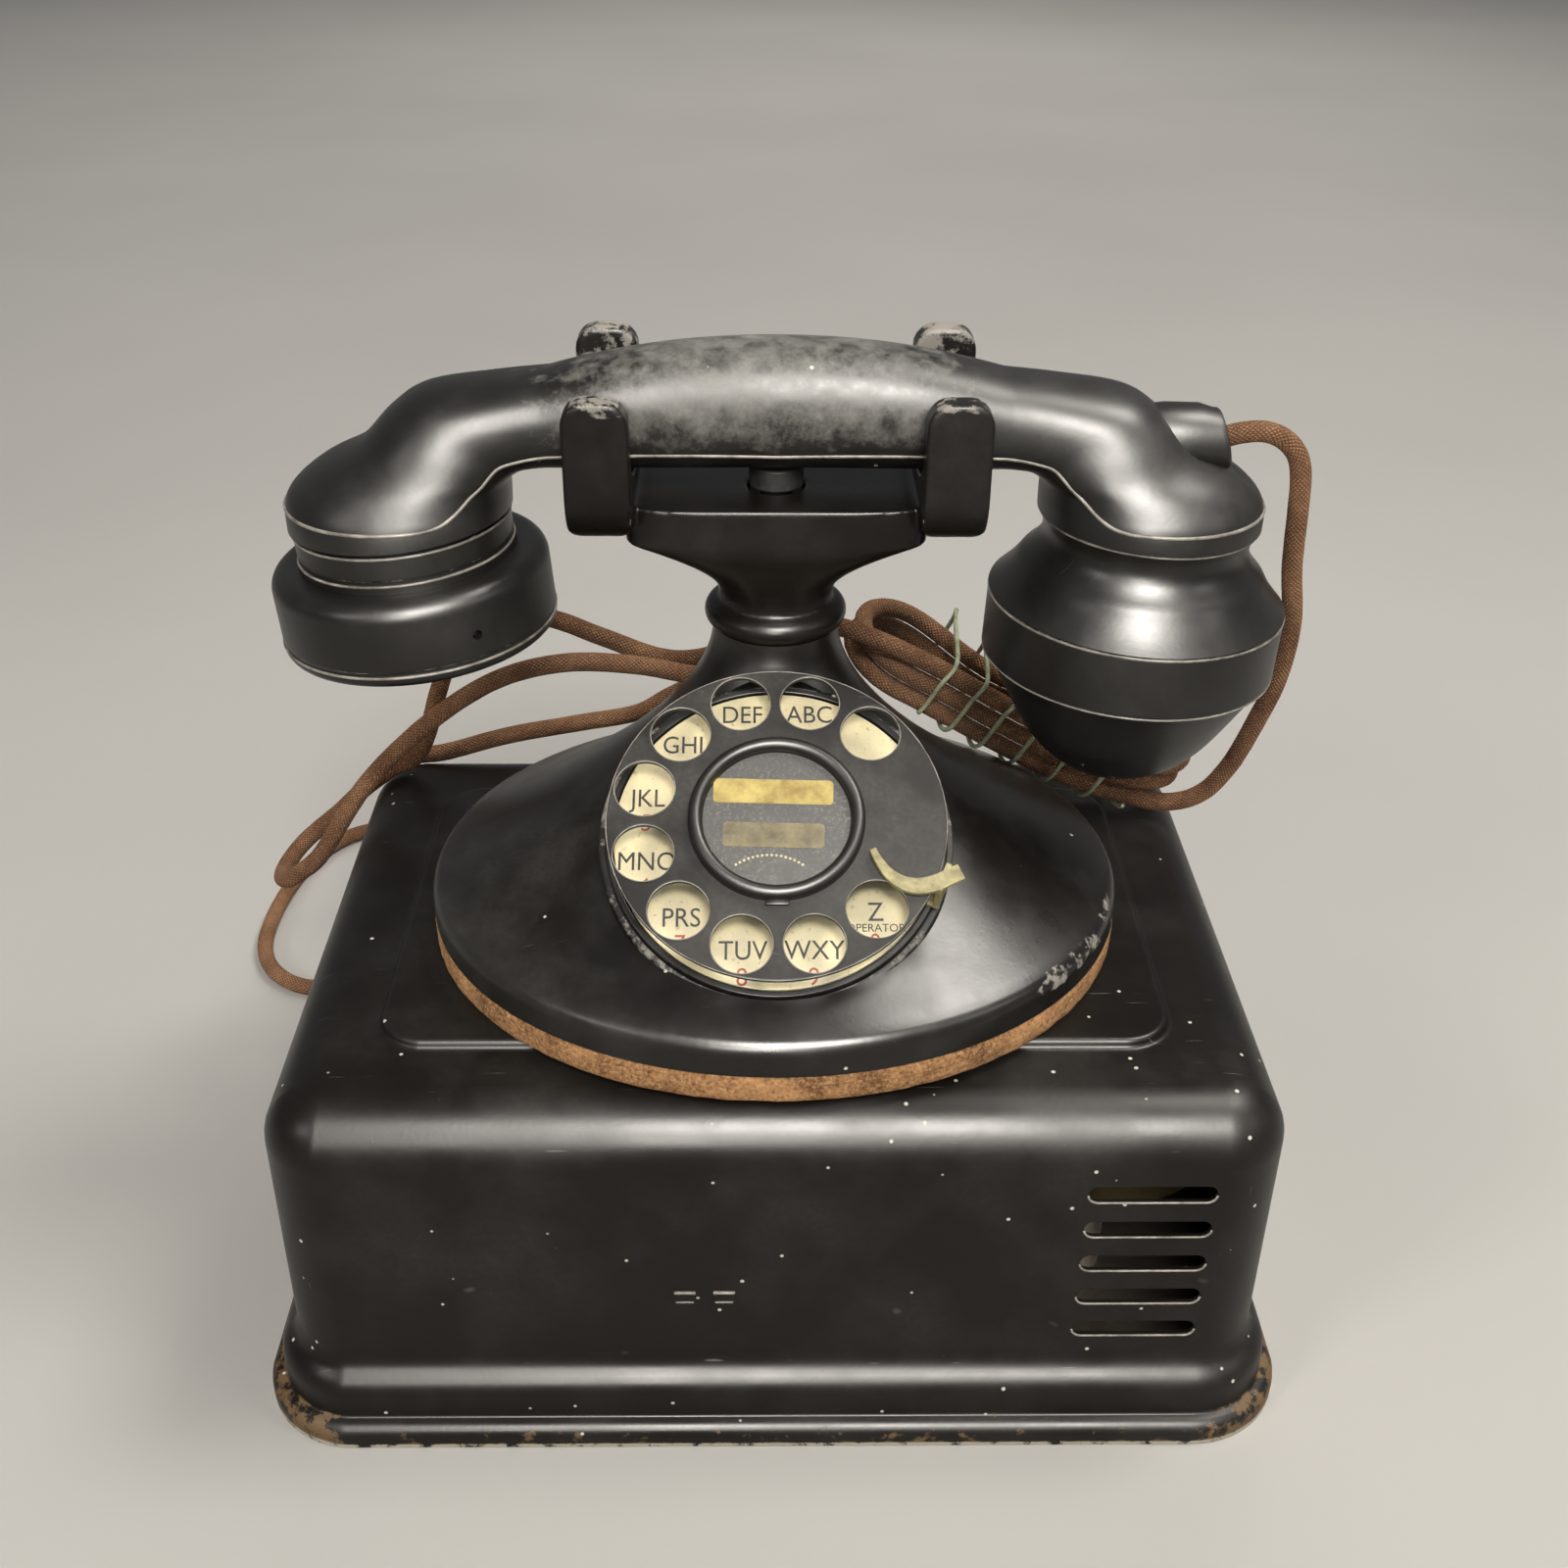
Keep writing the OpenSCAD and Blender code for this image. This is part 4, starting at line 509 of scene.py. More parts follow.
def ring_of(bm, count, spot):
    """Closed ring of vertices whose places a function of the angle gives; returns its edges."""
    made = bmesh.ops.create_circle(bm, segments=count, radius=1.0)["verts"]
    for v in made:
        v.co = Vector(spot(math.atan2(v.co.y, v.co.x))) * MM
    return list({e for v in made for e in v.link_edges})


def joined_rings(bm, rings, ends=True):
    """Skin over a row of rings, with its ends filled."""
    for a, b in zip(rings, rings[1:]):
        bmesh.ops.bridge_loops(bm, edges=a + b)
    if ends:
        for edges in (rings[0], rings[-1]):
            bmesh.ops.contextual_create(bm, geom=edges)
    bmesh.ops.recalc_face_normals(bm, faces=bm.faces)


def arc(cx, cy, r, start, stop, steps):
    """Points of an arc, with angles in degrees."""
    turn = [math.radians(start + (stop - start) * k / steps) for k in range(steps + 1)]
    return [(cx + r * math.cos(a), cy + r * math.sin(a)) for a in turn]


def power(c, n):
    """Power that keeps the sign."""
    return math.copysign(abs(c) ** n, c)


def ease(t):
    """Soft step from 0 to 1."""
    u = min(max(t, 0.0), 1.0)
    return u * u * (3 - 2 * u)


def mix(a, b, t):
    return a + (b - a) * t


# Cords: the routes of the part's source, in mm


def smooth_route(points, steps=8):
    """Smooth curve through a route's points."""
    p = [Vector(q) for q in points]
    last = len(p) - 1
    made = []
    for i in range(last):
        a, b, c, d = p[max(i - 1, 0)], p[i], p[i + 1], p[min(i + 2, last)]
        for k in range(steps):
            t = k / steps
            made.append(0.5 * (2 * b + (c - a) * t + (2 * a - 5 * b + 4 * c - d) * t ** 2
                               + (3 * b - a - 3 * c + d) * t ** 3))
    return made + [p[last]]


CORD_D = 4.7
CORD_R = CORD_D / 2
BEND_R = 13.8
HANK_LOOPS = 2
HANK_MID = Vector((62, 55, 113))
HANK_U = Vector((0.893, 0.03, -0.449)).normalized()
HANK_V = (Vector((0, 1, 0.17)) - HANK_U * Vector((0, 1, 0.17)).dot(HANK_U)).normalized()
HANK_W = HANK_U.cross(HANK_V)
HANK_HALF, HANK_PITCH, HANK_WAIST = 33, CORD_D + 0.8, 5
HANK_SAG, HANK_LOBE, HANK_REACH = 6, 5, 40
FOLD, RUN = math.pi * BEND_R, 2 * HANK_HALF
LOOP = 2 * RUN + 2 * FOLD


def hank_spread(u):
    """Half of the hank's breadth at u along it."""
    return BEND_R - HANK_WAIST * (1 - min(abs(u) / HANK_HALF, 1) ** 2) ** 2


def hank_place(u, v, w):
    """Point of the sagging hank, from places along, across and up it."""
    drop = HANK_SAG * (1 - min(abs(u - HANK_LOBE) / HANK_REACH, 1) ** 2) ** 2
    return HANK_MID + u * HANK_U + v * HANK_V + (w - drop) * HANK_W


def hank_at(s):
    """Point of the hank after s loops."""
    k = math.floor(s)
    d = (s - k) * LOOP
    if d <= RUN:
        u = HANK_HALF - d
        return hank_place(u, -hank_spread(u), HANK_PITCH * k)
    if d <= RUN + FOLD:
        a = math.pi * (d - RUN) / FOLD
        return hank_place(-HANK_HALF - BEND_R * math.sin(a), -BEND_R * math.cos(a), HANK_PITCH * k)
    if d <= 2 * RUN + FOLD:
        e = d - RUN - FOLD
        u = e - HANK_HALF
        return hank_place(u, hank_spread(u), HANK_PITCH * (k + ease(e / RUN)))
    a = math.pi * (d - 2 * RUN - FOLD) / FOLD
    return hank_place(HANK_HALF + BEND_R * math.sin(a), BEND_R * math.cos(a), HANK_PITCH * (k + 1))


NECK_Y = 15
GRIP_HH, GRIP_HW, BEND_HH, BEND_HW = 13.5, 14, 10.2, 13.3
CUP_X, CUP_R = 83, 24.8
LEAN = {-1: math.radians(4.5), 1: math.radians(2.5)}
PIVOT_X = CUP_X - 34
SEAT_T = (37.5 - 13.8 / 2) / PIVOT_X
BEND_DROP, CUP_DROP = 3.4, 25.3
GRIP_Z = 196 + BEND_DROP * SEAT_T ** 2 + GRIP_HH + (BEND_HH - GRIP_HH) * SEAT_T ** 2.2
JOINT_Z = GRIP_Z - CUP_DROP
BOSS_ANGLE = math.radians(15)
BOSS_WAY = Vector((math.cos(BOSS_ANGLE), 0, math.sin(BOSS_ANGLE)))
BOSS_FACE = Vector((CUP_X + 14.5, NECK_Y, JOINT_Z + 17.6))
BUSH_X, BUSH_Y, BUSH_Z = 9, 72.2, 107
LIE_Z = CORD_R + 0.05


def handset_route():
    """Handset cord: boss, hank, behind the neck, out to the left over the box's edge and back."""
    last = HANK_LOOPS + RUN / LOOP
    hank_in = hank_place(HANK_HALF + CORD_D, -BEND_R, 0)
    hank_out = hank_place(-HANK_HALF - CORD_D, -BEND_R, HANK_PITCH * HANK_LOOPS)
    in_way = (hank_in - hank_at(0)).normalized()
    out_way = (hank_out - hank_at(last - 0.001)).normalized()
    start = [
        BOSS_FACE, BOSS_FACE + 4 * BOSS_WAY, (106.4, 15, 203.2), (111, 15.1, 201.3), (114.3, 15.3, 197.6),
        (116, 15.8, 192.2), (116.9, 16.8, 184), (118.4, 19, 169.5), (121.3, 21.5, 153.5), (121.4, 25.5, 137),
        (119.4, 31, 121.5), (117.4, 36, 109), (115.2, 39, 101.6), (112.6, 40.8, 96.6), (108.8, 41.9, 93.4),
        (104.2, 42.5, 92), hank_in + CORD_D * in_way, hank_in]
    tail = [
        hank_out, hank_out + CORD_D * out_way, (19, 39, 143.5), (9, 42, 144), (0, 43.5, 141.5), (-10, 45, 136),
        (-19, 46.5, 132), (-29, 48, 131.5), (-43, 50, 136), (-57, 52, 140.5), (-71, 54, 140), (-82, 57, 129),
        (-88, 59.5, 115), (-92.5, 62, 101), (-97, 63.5, 93), (-104, 64, 89), (-112.5, 64.5, 82), (-119, 64.5, 75.6),
        (-126, 64.5, 69.5), (-129.1, 63.7, 66.9), (-131.7, 61.4, 64.7), (-133.4, 58, 63.2), (-134, 54, 62.7),
        (-133.4, 50, 63.2), (-131.7, 46.6, 64.7), (-129.1, 44.3, 66.9), (-126, 43.5, 69.5), (-120, 43.4, 75.2),
        (-107, 44, 95), (-93.5, 43, 110), (-79.5, 42, 122), (-66, 41, 130), (-50.5, 40, 134), (-34, 39.5, 133.5),
        (-19, 40, 130.5), (-9, 45, 128.5), (0, 54, 128), (7.2, 70, 128.3), (9, 79.5, 128), (9, 83.5, 127.2),
        (9, 87.2, 124.9), (9, 89.6, 121.4), (9, 90.4, 117.3), (9, 89.6, 113.2), (9, 87.2, 109.8), (9, 83.6, 107.6),
        (9, 79.6, 107), (BUSH_X, BUSH_Y, BUSH_Z)]
    hank = [hank_at(k / 72) for k in range(int(last * 72) + 1)] + [hank_at(last - 0.001)]
    return smooth_route(start) + hank + smooth_route(tail)


COIL_MID, COIL_STEP, COIL_IN, COIL_HALF, COIL_RISE = (-45, 135), 5.3, 20, 2.75, CORD_D + 0.6
BOX_CORD = (-80, 82.5, 30)


def coil_at(t):
    """Point of the coil after t turns: in on the lower layer, out on the upper one."""
    r = COIL_IN + COIL_STEP * abs(t - COIL_HALF)
    a = math.tau * t - math.pi / 2
    z = LIE_Z + COIL_RISE * ease((t - COIL_HALF + 0.25) / 0.5)
    return Vector((COIL_MID[0] + r * math.cos(a), COIL_MID[1] + r * math.sin(a), z))


def mounting_route():
    """Mounting cord: base, box's rear edge, coil on the desk, round and into the box."""
    aside = Vector((CORD_D, 0, 0))
    first, final = coil_at(0) - aside, coil_at(2 * COIL_HALF) - aside
    start = [
        (-BUSH_X, BUSH_Y, BUSH_Z), (-9, 80, 107), (-12.5, 87, 105.5), (-20, 90.5, 102.5), (-29, 89, 98.5),
        (-38, 84.5, 95.5), (-54, 79, 95.2), (-73, 75, 93.5), (-90, 72.5, 89.7), (-101, 76, 86), (-107, 84, 76),
        (-110, 91, 61), (-111, 96.5, 42), (-109, 100.5, 24), (-102, 102, 11), (-90, 101, 4.5), (-75, 100.4, LIE_Z),
        first - aside, first]
    tail = [
        final, final - aside, (-72, 170, 5), (-95, 172, LIE_Z), (-122, 172.5, LIE_Z), (-142, 168, LIE_Z),
        (-153, 154, LIE_Z), (-158, 137, LIE_Z), (-160, 118, LIE_Z), (-159, 102, LIE_Z), (-154, 90, LIE_Z),
        (-145, 82, LIE_Z), (-135, 80.5, LIE_Z), (-126, 86, LIE_Z + 0.5), (-117, 93, 5), (-106, 95, 10),
        (-95, 96, 17.5), (-86, 96, 25.5), (-81, 93.5, 29.5), (-80, 89, 30), BOX_CORD]
    coil = [coil_at(k / 48) for k in range(int(2 * COIL_HALF * 48) + 1)]
    return smooth_route(start) + coil + smooth_route(tail)


TIE_TURNS, TIE_FROM, TIE_TO, TIE_CLEAR = 6, 35, -27, 0.5


def tie_route(thick):
    """Wire wound round the hank."""
    made = []
    steps = TIE_TURNS * 48
    for k in range(steps + 1):
        a, u = math.radians(7.5 * k + 200), mix(TIE_FROM, TIE_TO, k / steps)
        hv = hank_spread(u) + CORD_R + thick / 2 + TIE_CLEAR
        hw = HANK_PITCH + CORD_R + thick / 2 + TIE_CLEAR
        made.append(hank_place(u, hv * power(math.cos(a), 0.25), HANK_PITCH + hw * power(math.sin(a), 0.25)))
    return made


def even_path(points, step):
    """Points of a route at even distances, in mm."""
    kept = [points[0]]
    for p in points[1:]:
        if (p - kept[-1]).length > 1e-4:
            kept.append(p)
    far = [0.0]
    for a, b in zip(kept, kept[1:]):
        far.append(far[-1] + (b - a).length)
    count = max(int(far[-1] / step), 2)
    made, i = [], 0
    for k in range(count + 1):
        want = far[-1] * k / count
        while i < len(far) - 2 and far[i + 1] < want:
            i += 1
        made.append(kept[i].lerp(kept[i + 1], (want - far[i]) / (far[i + 1] - far[i])))
    return made, far[-1]


def tube_mesh(name, path, radius, sides, uneven):
    """Tube along a path in mm, with UVs in mm along and round it for its braid."""
    ahead = [(path[min(i + 1, len(path) - 1)] - path[max(i - 1, 0)]).normalized() for i in range(len(path))]
    side = ahead[0].orthogonal().normalized()
    verts, far = [], [0.0]
    for i, (p, h) in enumerate(zip(path, ahead)):
        side = (side - h * side.dot(h)).normalized()
        up = h.cross(side)
        for k in range(sides):
            a = math.tau * k / sides
            r = radius * (1 + uneven * noise.noise(p * 0.22 + Vector((0, 0, a))))
            verts.append((p + (side * math.cos(a) + up * math.sin(a)) * r) * MM)
        if i:
            far.append(far[-1] + (p - path[i - 1]).length)
    rows = len(path)
    faces = [(i * sides + k, i * sides + (k + 1) % sides, (i + 1) * sides + (k + 1) % sides, (i + 1) * sides + k)
             for i in range(rows - 1) for k in range(sides)]
    faces += [tuple(range(sides - 1, -1, -1)), tuple((rows - 1) * sides + k for k in range(sides))]
    mesh = bpy.data.meshes.new(name)
    mesh.from_pydata(verts, [], faces)
    lay = mesh.uv_layers.new(name="UVMap")
    around = math.tau * radius
    for n, poly in enumerate(mesh.polygons):
        i, k = divmod(n, sides)
        whole = n < (rows - 1) * sides
        spots = [(far[i], k), (far[i], k + 1), (far[i + 1], k + 1), (far[i + 1], k)] if whole else [(0, 0)] * sides
        for loop, (s, turn) in zip(poly.loop_indices, spots):
            lay.data[loop].uv = (s, around * turn / sides)
    return mesh


class TELEPHONE_OT_stage(bpy.types.Operator):
    """Camera, pale floor and soft studio light"""

    bl_idname = "telephone.stage"
    bl_label = "Stage"

    def execute(self, context):
        set_up = context.scene.telephone_stage
        p, y, r = set_up.pitch, set_up.yaw, set_up.roll
        ahead = Vector((math.sin(y) * math.cos(p), math.cos(y) * math.cos(p), -math.sin(p)))
        right = Vector((math.cos(y), -math.sin(y), 0))
        up = right.cross(ahead)
        turned_right = math.cos(r) * right + math.sin(r) * up
        turned_up = math.cos(r) * up - math.sin(r) * right
        lens = bpy.data.cameras.new("camera")
        lens.lens, lens.sensor_width, lens.clip_start = set_up.lens, 36.0, 0.01
        camera = bpy.data.objects.new("camera", lens)
        axes = Matrix((turned_right, turned_up, -ahead)).transposed().to_4x4()
        camera.matrix_world = Matrix.Translation(Vector(set_up.place)) @ axes
        context.scene.collection.objects.link(camera)
        context.scene.camera = camera
        bm = bmesh.new()
        bmesh.ops.create_grid(bm, x_segments=1, y_segments=1, size=4.0)
        bmesh.ops.translate(bm, verts=bm.verts, vec=(0, 0, -0.0002))
        floor = raw_object("floor", mesh_of("floor", bm))
        paper, tree, shader, coords = start_material("pale_floor")
        shade = spread(tree, cloud(tree, coords, 3.0, 2.0), 0.3, 0.7)
        feed(tree, shader, Base_Color=mixed(tree, shade, linear("#b6b4b0"), linear("#bcbab6")), Roughness=0.8,
             Specular_IOR_Level=0.0)
        floor.data.materials.append(paper)
        for name, place, size, power_w, aim, lit in (
                ("top_softbox", (0.5, 0.08, 1.15), 0.4, 7.0, (0, 0, 0.1), "all"),
                ("left_softbox", (-1.1, -0.9, 0.9), 0.4, 7.0, (0, 0, 0.1), "all"),
                ("right_softbox", (1.2, -0.6, 0.8), 0.35, 3.4, (0, 0, 0.1), "all"),
                ("front_softbox", (0.12, -1.0, 1.15), 0.26, 11.0, (0, 0, 0.15), "all"),
                ("front_sheen", (0.12, -0.95, 1.1), 0.6, 105.0, (0, 0, 0.15), "glossy"),
                ("top_sheen", (0.55, 0.1, 1.1), 0.4, 15.0, (0, 0, 0.15), "glossy"),
                ("low_sheen", (-0.1, -1.3, 0.65), 0.35, 26.0, (0, 0, 0.15), "glossy"),
                ("back_strip", (0.2, 1.9, 1.3), 1.2, 12.0, (0, 0.6, 0.0), "matt")):
            lamp = bpy.data.lights.new(name, "AREA")
            lamp.shape, lamp.size, lamp.energy = "SQUARE", size, power_w
            lamp.color = linear("#fffaf2")[:3]
            made = bpy.data.objects.new(name, lamp)
            made.location = place
            made.visible_diffuse, made.visible_glossy = lit != "glossy", lit != "matt"
            made.rotation_euler = (Vector(aim) - Vector(place)).to_track_quat("-Z", "Y").to_euler()
            context.scene.collection.objects.link(made)
        world = context.scene.world or bpy.data.worlds.new("studio")
        context.scene.world = world
        world.use_nodes = True
        back = world.node_tree.nodes["Background"]
        back.inputs[0].default_value = linear("#c9cbce")
        back.inputs[1].default_value = 0.36
        context.scene.view_settings.view_transform = "Standard"
        return {"FINISHED"}


class TELEPHONE_OT_cords(bpy.types.Operator):
    """Handset cord, its tie and mounting cord"""

    bl_idname = "telephone.cords"
    bl_label = "Cords"

    def execute(self, context):
        FINISH.update(make_materials())
        wide = sizes().cord_d
        path, far = even_path(handset_route(), 0.9)
        mesh = tube_mesh("handset_cord_braid", path, wide / MM / 2, 18, 0.02)
        cord = raw_object("handset_cord_braid", mesh)
        mesh.materials.append(FINISH["cloth"])
        mesh.shade_smooth()
        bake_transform(cord)
        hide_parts("handset_cord", "handset_cord_hank", "handset_cord_loop")
        path, far = even_path(mounting_route(), 0.9)
        mesh = tube_mesh("mounting_cord_braid", path, wide / MM / 2, 18, 0.02)
        cord = place_piece("mounting_cord_braid", mesh, "cloth", STAND, "cloth",
                           ("mounting_cord", "mounting_cord_coil", "mounting_cord_end"), 180)
        thin = sizes().tie_d
        path, far = even_path(tie_route(thin / MM), 0.7)
        mesh = tube_mesh("tie_wire", path, thin / MM / 2, 10, 0.1)
        cord = place_piece("tie_wire", mesh, "tie", STAND, "tie", ("hank_tie",), 180)
        return {"FINISHED"}


BOX_HX, BOX_HY, BOX_H, BOX_CORNER, BOX_TOP_R, SHEET = 109.5, 78.5, 88, 15, 13, 1.2
PANEL_HX, PANEL_HY, PANEL_CORNER = 87, 53.5, 11
TAB_X, TAB_PITCH, TAB_Z = -15.6, 8.6, 39
SLOT_LEN, SLOT_H, SLOT_X, SLOT_TOP, SLOT_PITCH, SLOTS = 27.5, 4.6, 79.5, 68.8, 10, 5


def rounded_outline(hx, hy, r, z):
    """Function of the angle that walks a rounded rectangle."""
    def spot(a):
        c, s = math.cos(a), math.sin(a)
        return (math.copysign(hx - r, c) + r * c, math.copysign(hy - r, s) + r * s, z)
    return spot


def box_mesh():
    """Pressed steel cover: lip, flared step, walls, rolled top edge and raised panel."""
    wall = [(8, 0), (8, 0.9), (8, 1.5), (8, 3)] + arc(5, 3, 3, 18, 90, 4)
    wall += [(4.75, 6.15), (4.55, 6.5), (4.5, 7.0), (4.5, 12.0), (4.35, 13.5), (3.9, 14.8), (3.2, 15.8), (2.4, 16.6),
             (1.6, 17.3), (0.9, 18.2), (0.35, 19.4), (0.08, 20.8), (0, 22.5)]
    wall += [(x - BOX_TOP_R, z + BOX_H - BOX_TOP_R) for x, z in arc(0, 0, BOX_TOP_R, 0, 90, 10)]
    panel = [(1.4, 88), (0.6, 88.12), (0.15, 88.5), (0, 88.9), (-0.15, 89.4), (-0.6, 89.85), (-1.4, 90)]
    bm = bmesh.new()
    rings = [ring_of(bm, 64, rounded_outline(BOX_HX + o, BOX_HY + o, BOX_CORNER + o, z)) for o, z in wall]
    rings += [ring_of(bm, 64, rounded_outline(PANEL_HX + o, PANEL_HY + o, PANEL_CORNER + o, z)) for o, z in panel]
    joined_rings(bm, rings, ends=False)
    bmesh.ops.contextual_create(bm, geom=rings[-1])
    bmesh.ops.recalc_face_normals(bm, faces=bm.faces)
    return mesh_of("box_raw", bm)


def slot_outline(k, y):
    """Function of the angle that walks a sound slot in the upright plane at y."""
    walk = rounded_outline(SLOT_LEN / 2, SLOT_H / 2, SLOT_H / 2, 0)

    def spot(a):
        x, z, _ = walk(a)
        return (SLOT_X + x, y, SLOT_TOP - k * SLOT_PITCH + z)
    return spot


def slot_cutter():
    """Stadium bars that cut the sound slots."""
    bm = bmesh.new()
    for k in range(SLOTS):
        edges = ring_of(bm, 40, slot_outline(k, -BOX_HY - 4))
        face = bmesh.ops.contextual_create(bm, geom=edges)["faces"]
        pushed = bmesh.ops.extrude_face_region(bm, geom=face)["geom"]
        moved = [v for v in pushed if isinstance(v, bmesh.types.BMVert)]
        bmesh.ops.translate(bm, verts=moved, vec=(0, 9 * MM, 0))
    bmesh.ops.recalc_face_normals(bm, faces=bm.faces)
    return mesh_of("slot_cutter", bm)


def slot_rims():
    """Pale lower edges of the sound slots."""
    bm = bmesh.new()
    for k in range(SLOTS):
        spot = slot_outline(k, -BOX_HY)
        path = even_path([Vector(spot(math.pi * (1.04 + 0.92 * j / 40))) for j in range(41)], 0.8)[0]
        add_mesh(bm, tube_mesh("slot_edge", path, 0.26, 8, 0.05))
    return bm


def tab_bars():
    """Pale ends of the staked tabs."""
    bm = bmesh.new()
    for x in (TAB_X - TAB_PITCH / 2, TAB_X + TAB_PITCH / 2):
        for up, wide in ((1.35, 4.8), (-1.35, 4.0)):
            place = Matrix.Translation(Vector((x, -BOX_HY - 0.1, TAB_Z + up)) * MM)
            size = Matrix.Diagonal((wide * MM, 0.7 * MM, 0.7 * MM, 1))
            bmesh.ops.create_cube(bm, size=1.0, matrix=place @ size)
    rounded(bm, bm.edges[:], 0.25, 3)
    return bm


class TELEPHONE_OT_bell_box(bpy.types.Operator):
    """Pressed steel cover of the bell box"""

    bl_idname = "telephone.bell_box"
    bl_label = "Bell box"

    def execute(self, context):
        made = raw_object("box_raw", box_mesh())
        cutter = raw_object("slot_cutter", slot_cutter())
        for raw in (made, cutter):
            smooth_shaded(raw.data, 45)
        wall = made.modifiers.new("sheet", "SOLIDIFY")
        wall.thickness, wall.offset = SHEET * MM, -1
        cut_with(made, cutter)
        soften(made, 0.3 * MM, 60)
        mesh = finished_mesh(made, "box_cover_look")
        bpy.data.objects.remove(cutter)
        cover = place_piece("box_cover_look", mesh, "japan", STAND, "japan", ("box_cover",), 0)

        def wear(p, n):
            if p.z < 7:
                spots = abs(p.x) > 97 or (abs(p.x - 14) < 9 and p.y < 0)
                scuffed = p.z < 1 and p.y < 0
                return 0.62 if scuffed else 0.56 if spots and p.z < 6.6 else 0.44 if p.z < 5 else 0.36
            rim = abs(p.z - 84.5) < 4.5 and (abs(p.x) > 96 or abs(p.y) > 65)
            return 0.33 if rim else 0.25 if p.z < 23 else 0.0
        set_wear_and_painted_light(cover, wear)
        built("tab_edges", tab_bars(), "edge_wear_and_highlight", STAND, "japan", (), 40)
        built("slot_edges", slot_rims(), "edge_wear_and_highlight", STAND, "japan", (), 180)
        return {"FINISHED"}


DIAL = Matrix.Translation((0, -0.0355, 0.1353)) @ Matrix.Rotation(math.radians(32.6), 4, "X")
FOOT_A, FOOT_B, FOOT_Y, CAST_Z, NECK_R, CAST_H, EDGE_Z = 80, 71, -2.8, 97, 14.3, 61, 8
CUP_BORE, CUP_MID, CUP_OUT, CUP_RIM, LEDGE = 37.1, 37.8, 38.4, -9.8, -11.0


def foot_spot(a, b, y, z):
    """Function of the angle that walks an oval."""
    return lambda t: (a * math.cos(t), y + b * math.sin(t), z)


def bell_spot(u):
    """Ring of the casting's bell at a share of its height."""
    f = (1 - u) ** 1.9
    y = FOOT_Y + (NECK_Y - FOOT_Y) * (1 - f) ** 1.3
    z = CAST_Z + EDGE_Z + (CAST_H - EDGE_Z) * u
    return foot_spot(mix(NECK_R, FOOT_A - 2, f), mix(NECK_R, FOOT_B - 2, f), y, z)


class TELEPHONE_OT_base(bpy.types.Operator):
    """Oval casting with its dial cup, and the leather band under it"""

    bl_idname = "telephone.base"
    bl_label = "Base casting"

    def execute(self, context):
        bm = bmesh.new()
        rim = [(0, 0.0), (0, 4.6), (-0.2, 5.6), (-0.6, 6.6), (-1.2, 7.4)]
        rings = [ring_of(bm, 128, foot_spot(FOOT_A + o, FOOT_B + o, FOOT_Y, CAST_Z + z)) for o, z in rim]
        rings += [ring_of(bm, 128, bell_spot(k / 40)) for k in range(41)]
        joined_rings(bm, rings)
        well = [(0, LEDGE - 2), (CUP_MID, LEDGE - 2), (CUP_MID, 50), (0, 50)]
        mesh = drilled(bm, turned(well, DIAL, 128), "base_casting_look")
        casting = place_piece("base_casting_look", mesh, "casting", STAND, "japan", ("base_casting",), 38)
        profile = [(0, -20), (CUP_OUT, -20), (CUP_OUT, CUP_RIM - 0.5), (CUP_OUT - 0.15, CUP_RIM - 0.15),
                   (CUP_OUT - 0.5, CUP_RIM), (CUP_BORE, CUP_RIM), (CUP_BORE, LEDGE), (0, LEDGE)]
        cup = built("dial_cup", turned(profile, DIAL, 160), "wheel", STAND, "japan", (), 38)
        set_wear_and_painted_light(cup, lambda p, n: 0.5 if (DIAL.inverted() @ (p * MM)).z / MM > CUP_RIM - 1 else 0.0)

        def wear(p, n):
            rim_edge = CAST_Z + 4.5 < p.z < CAST_Z + 8.5
            patch = rim_edge and 56 < p.x < 77 and p.y < -8
            return 0.52 if patch else 0.3 if rim_edge else 0.0
        set_wear_and_painted_light(casting, wear)
        bm = bmesh.new()
        edge = [(-3.2, 90.02), (-0.9, 90.02), (-0.2, 90.5), (0.0, 91.5), (0.05, 93.5), (0.0, 95.6), (-0.3, 96.5),
                (-1.0, 96.95), (-3.2, 96.95)]
        rings = [ring_of(bm, 360, foot_spot(FOOT_A + o, FOOT_B + o, FOOT_Y, z)) for o, z in edge]
        joined_rings(bm, rings)
        for v in bm.verts:
            out = Vector((v.co.x, v.co.y - FOOT_Y * MM, 0)).normalized()
            rough = noise.noise(v.co * 260) * 0.22 + noise.noise(v.co * 900) * 0.14
            if 90.3 * MM < v.co.z < 96.8 * MM:
                v.co += out * rough * MM
        built("leather_band", bm, "leather", STAND, "leather", ("leather_sole",), 60)
        return {"FINISHED"}


TRAY_Z, FRONT_TOP, REAR_TOP = 191, 216.5, 220.4


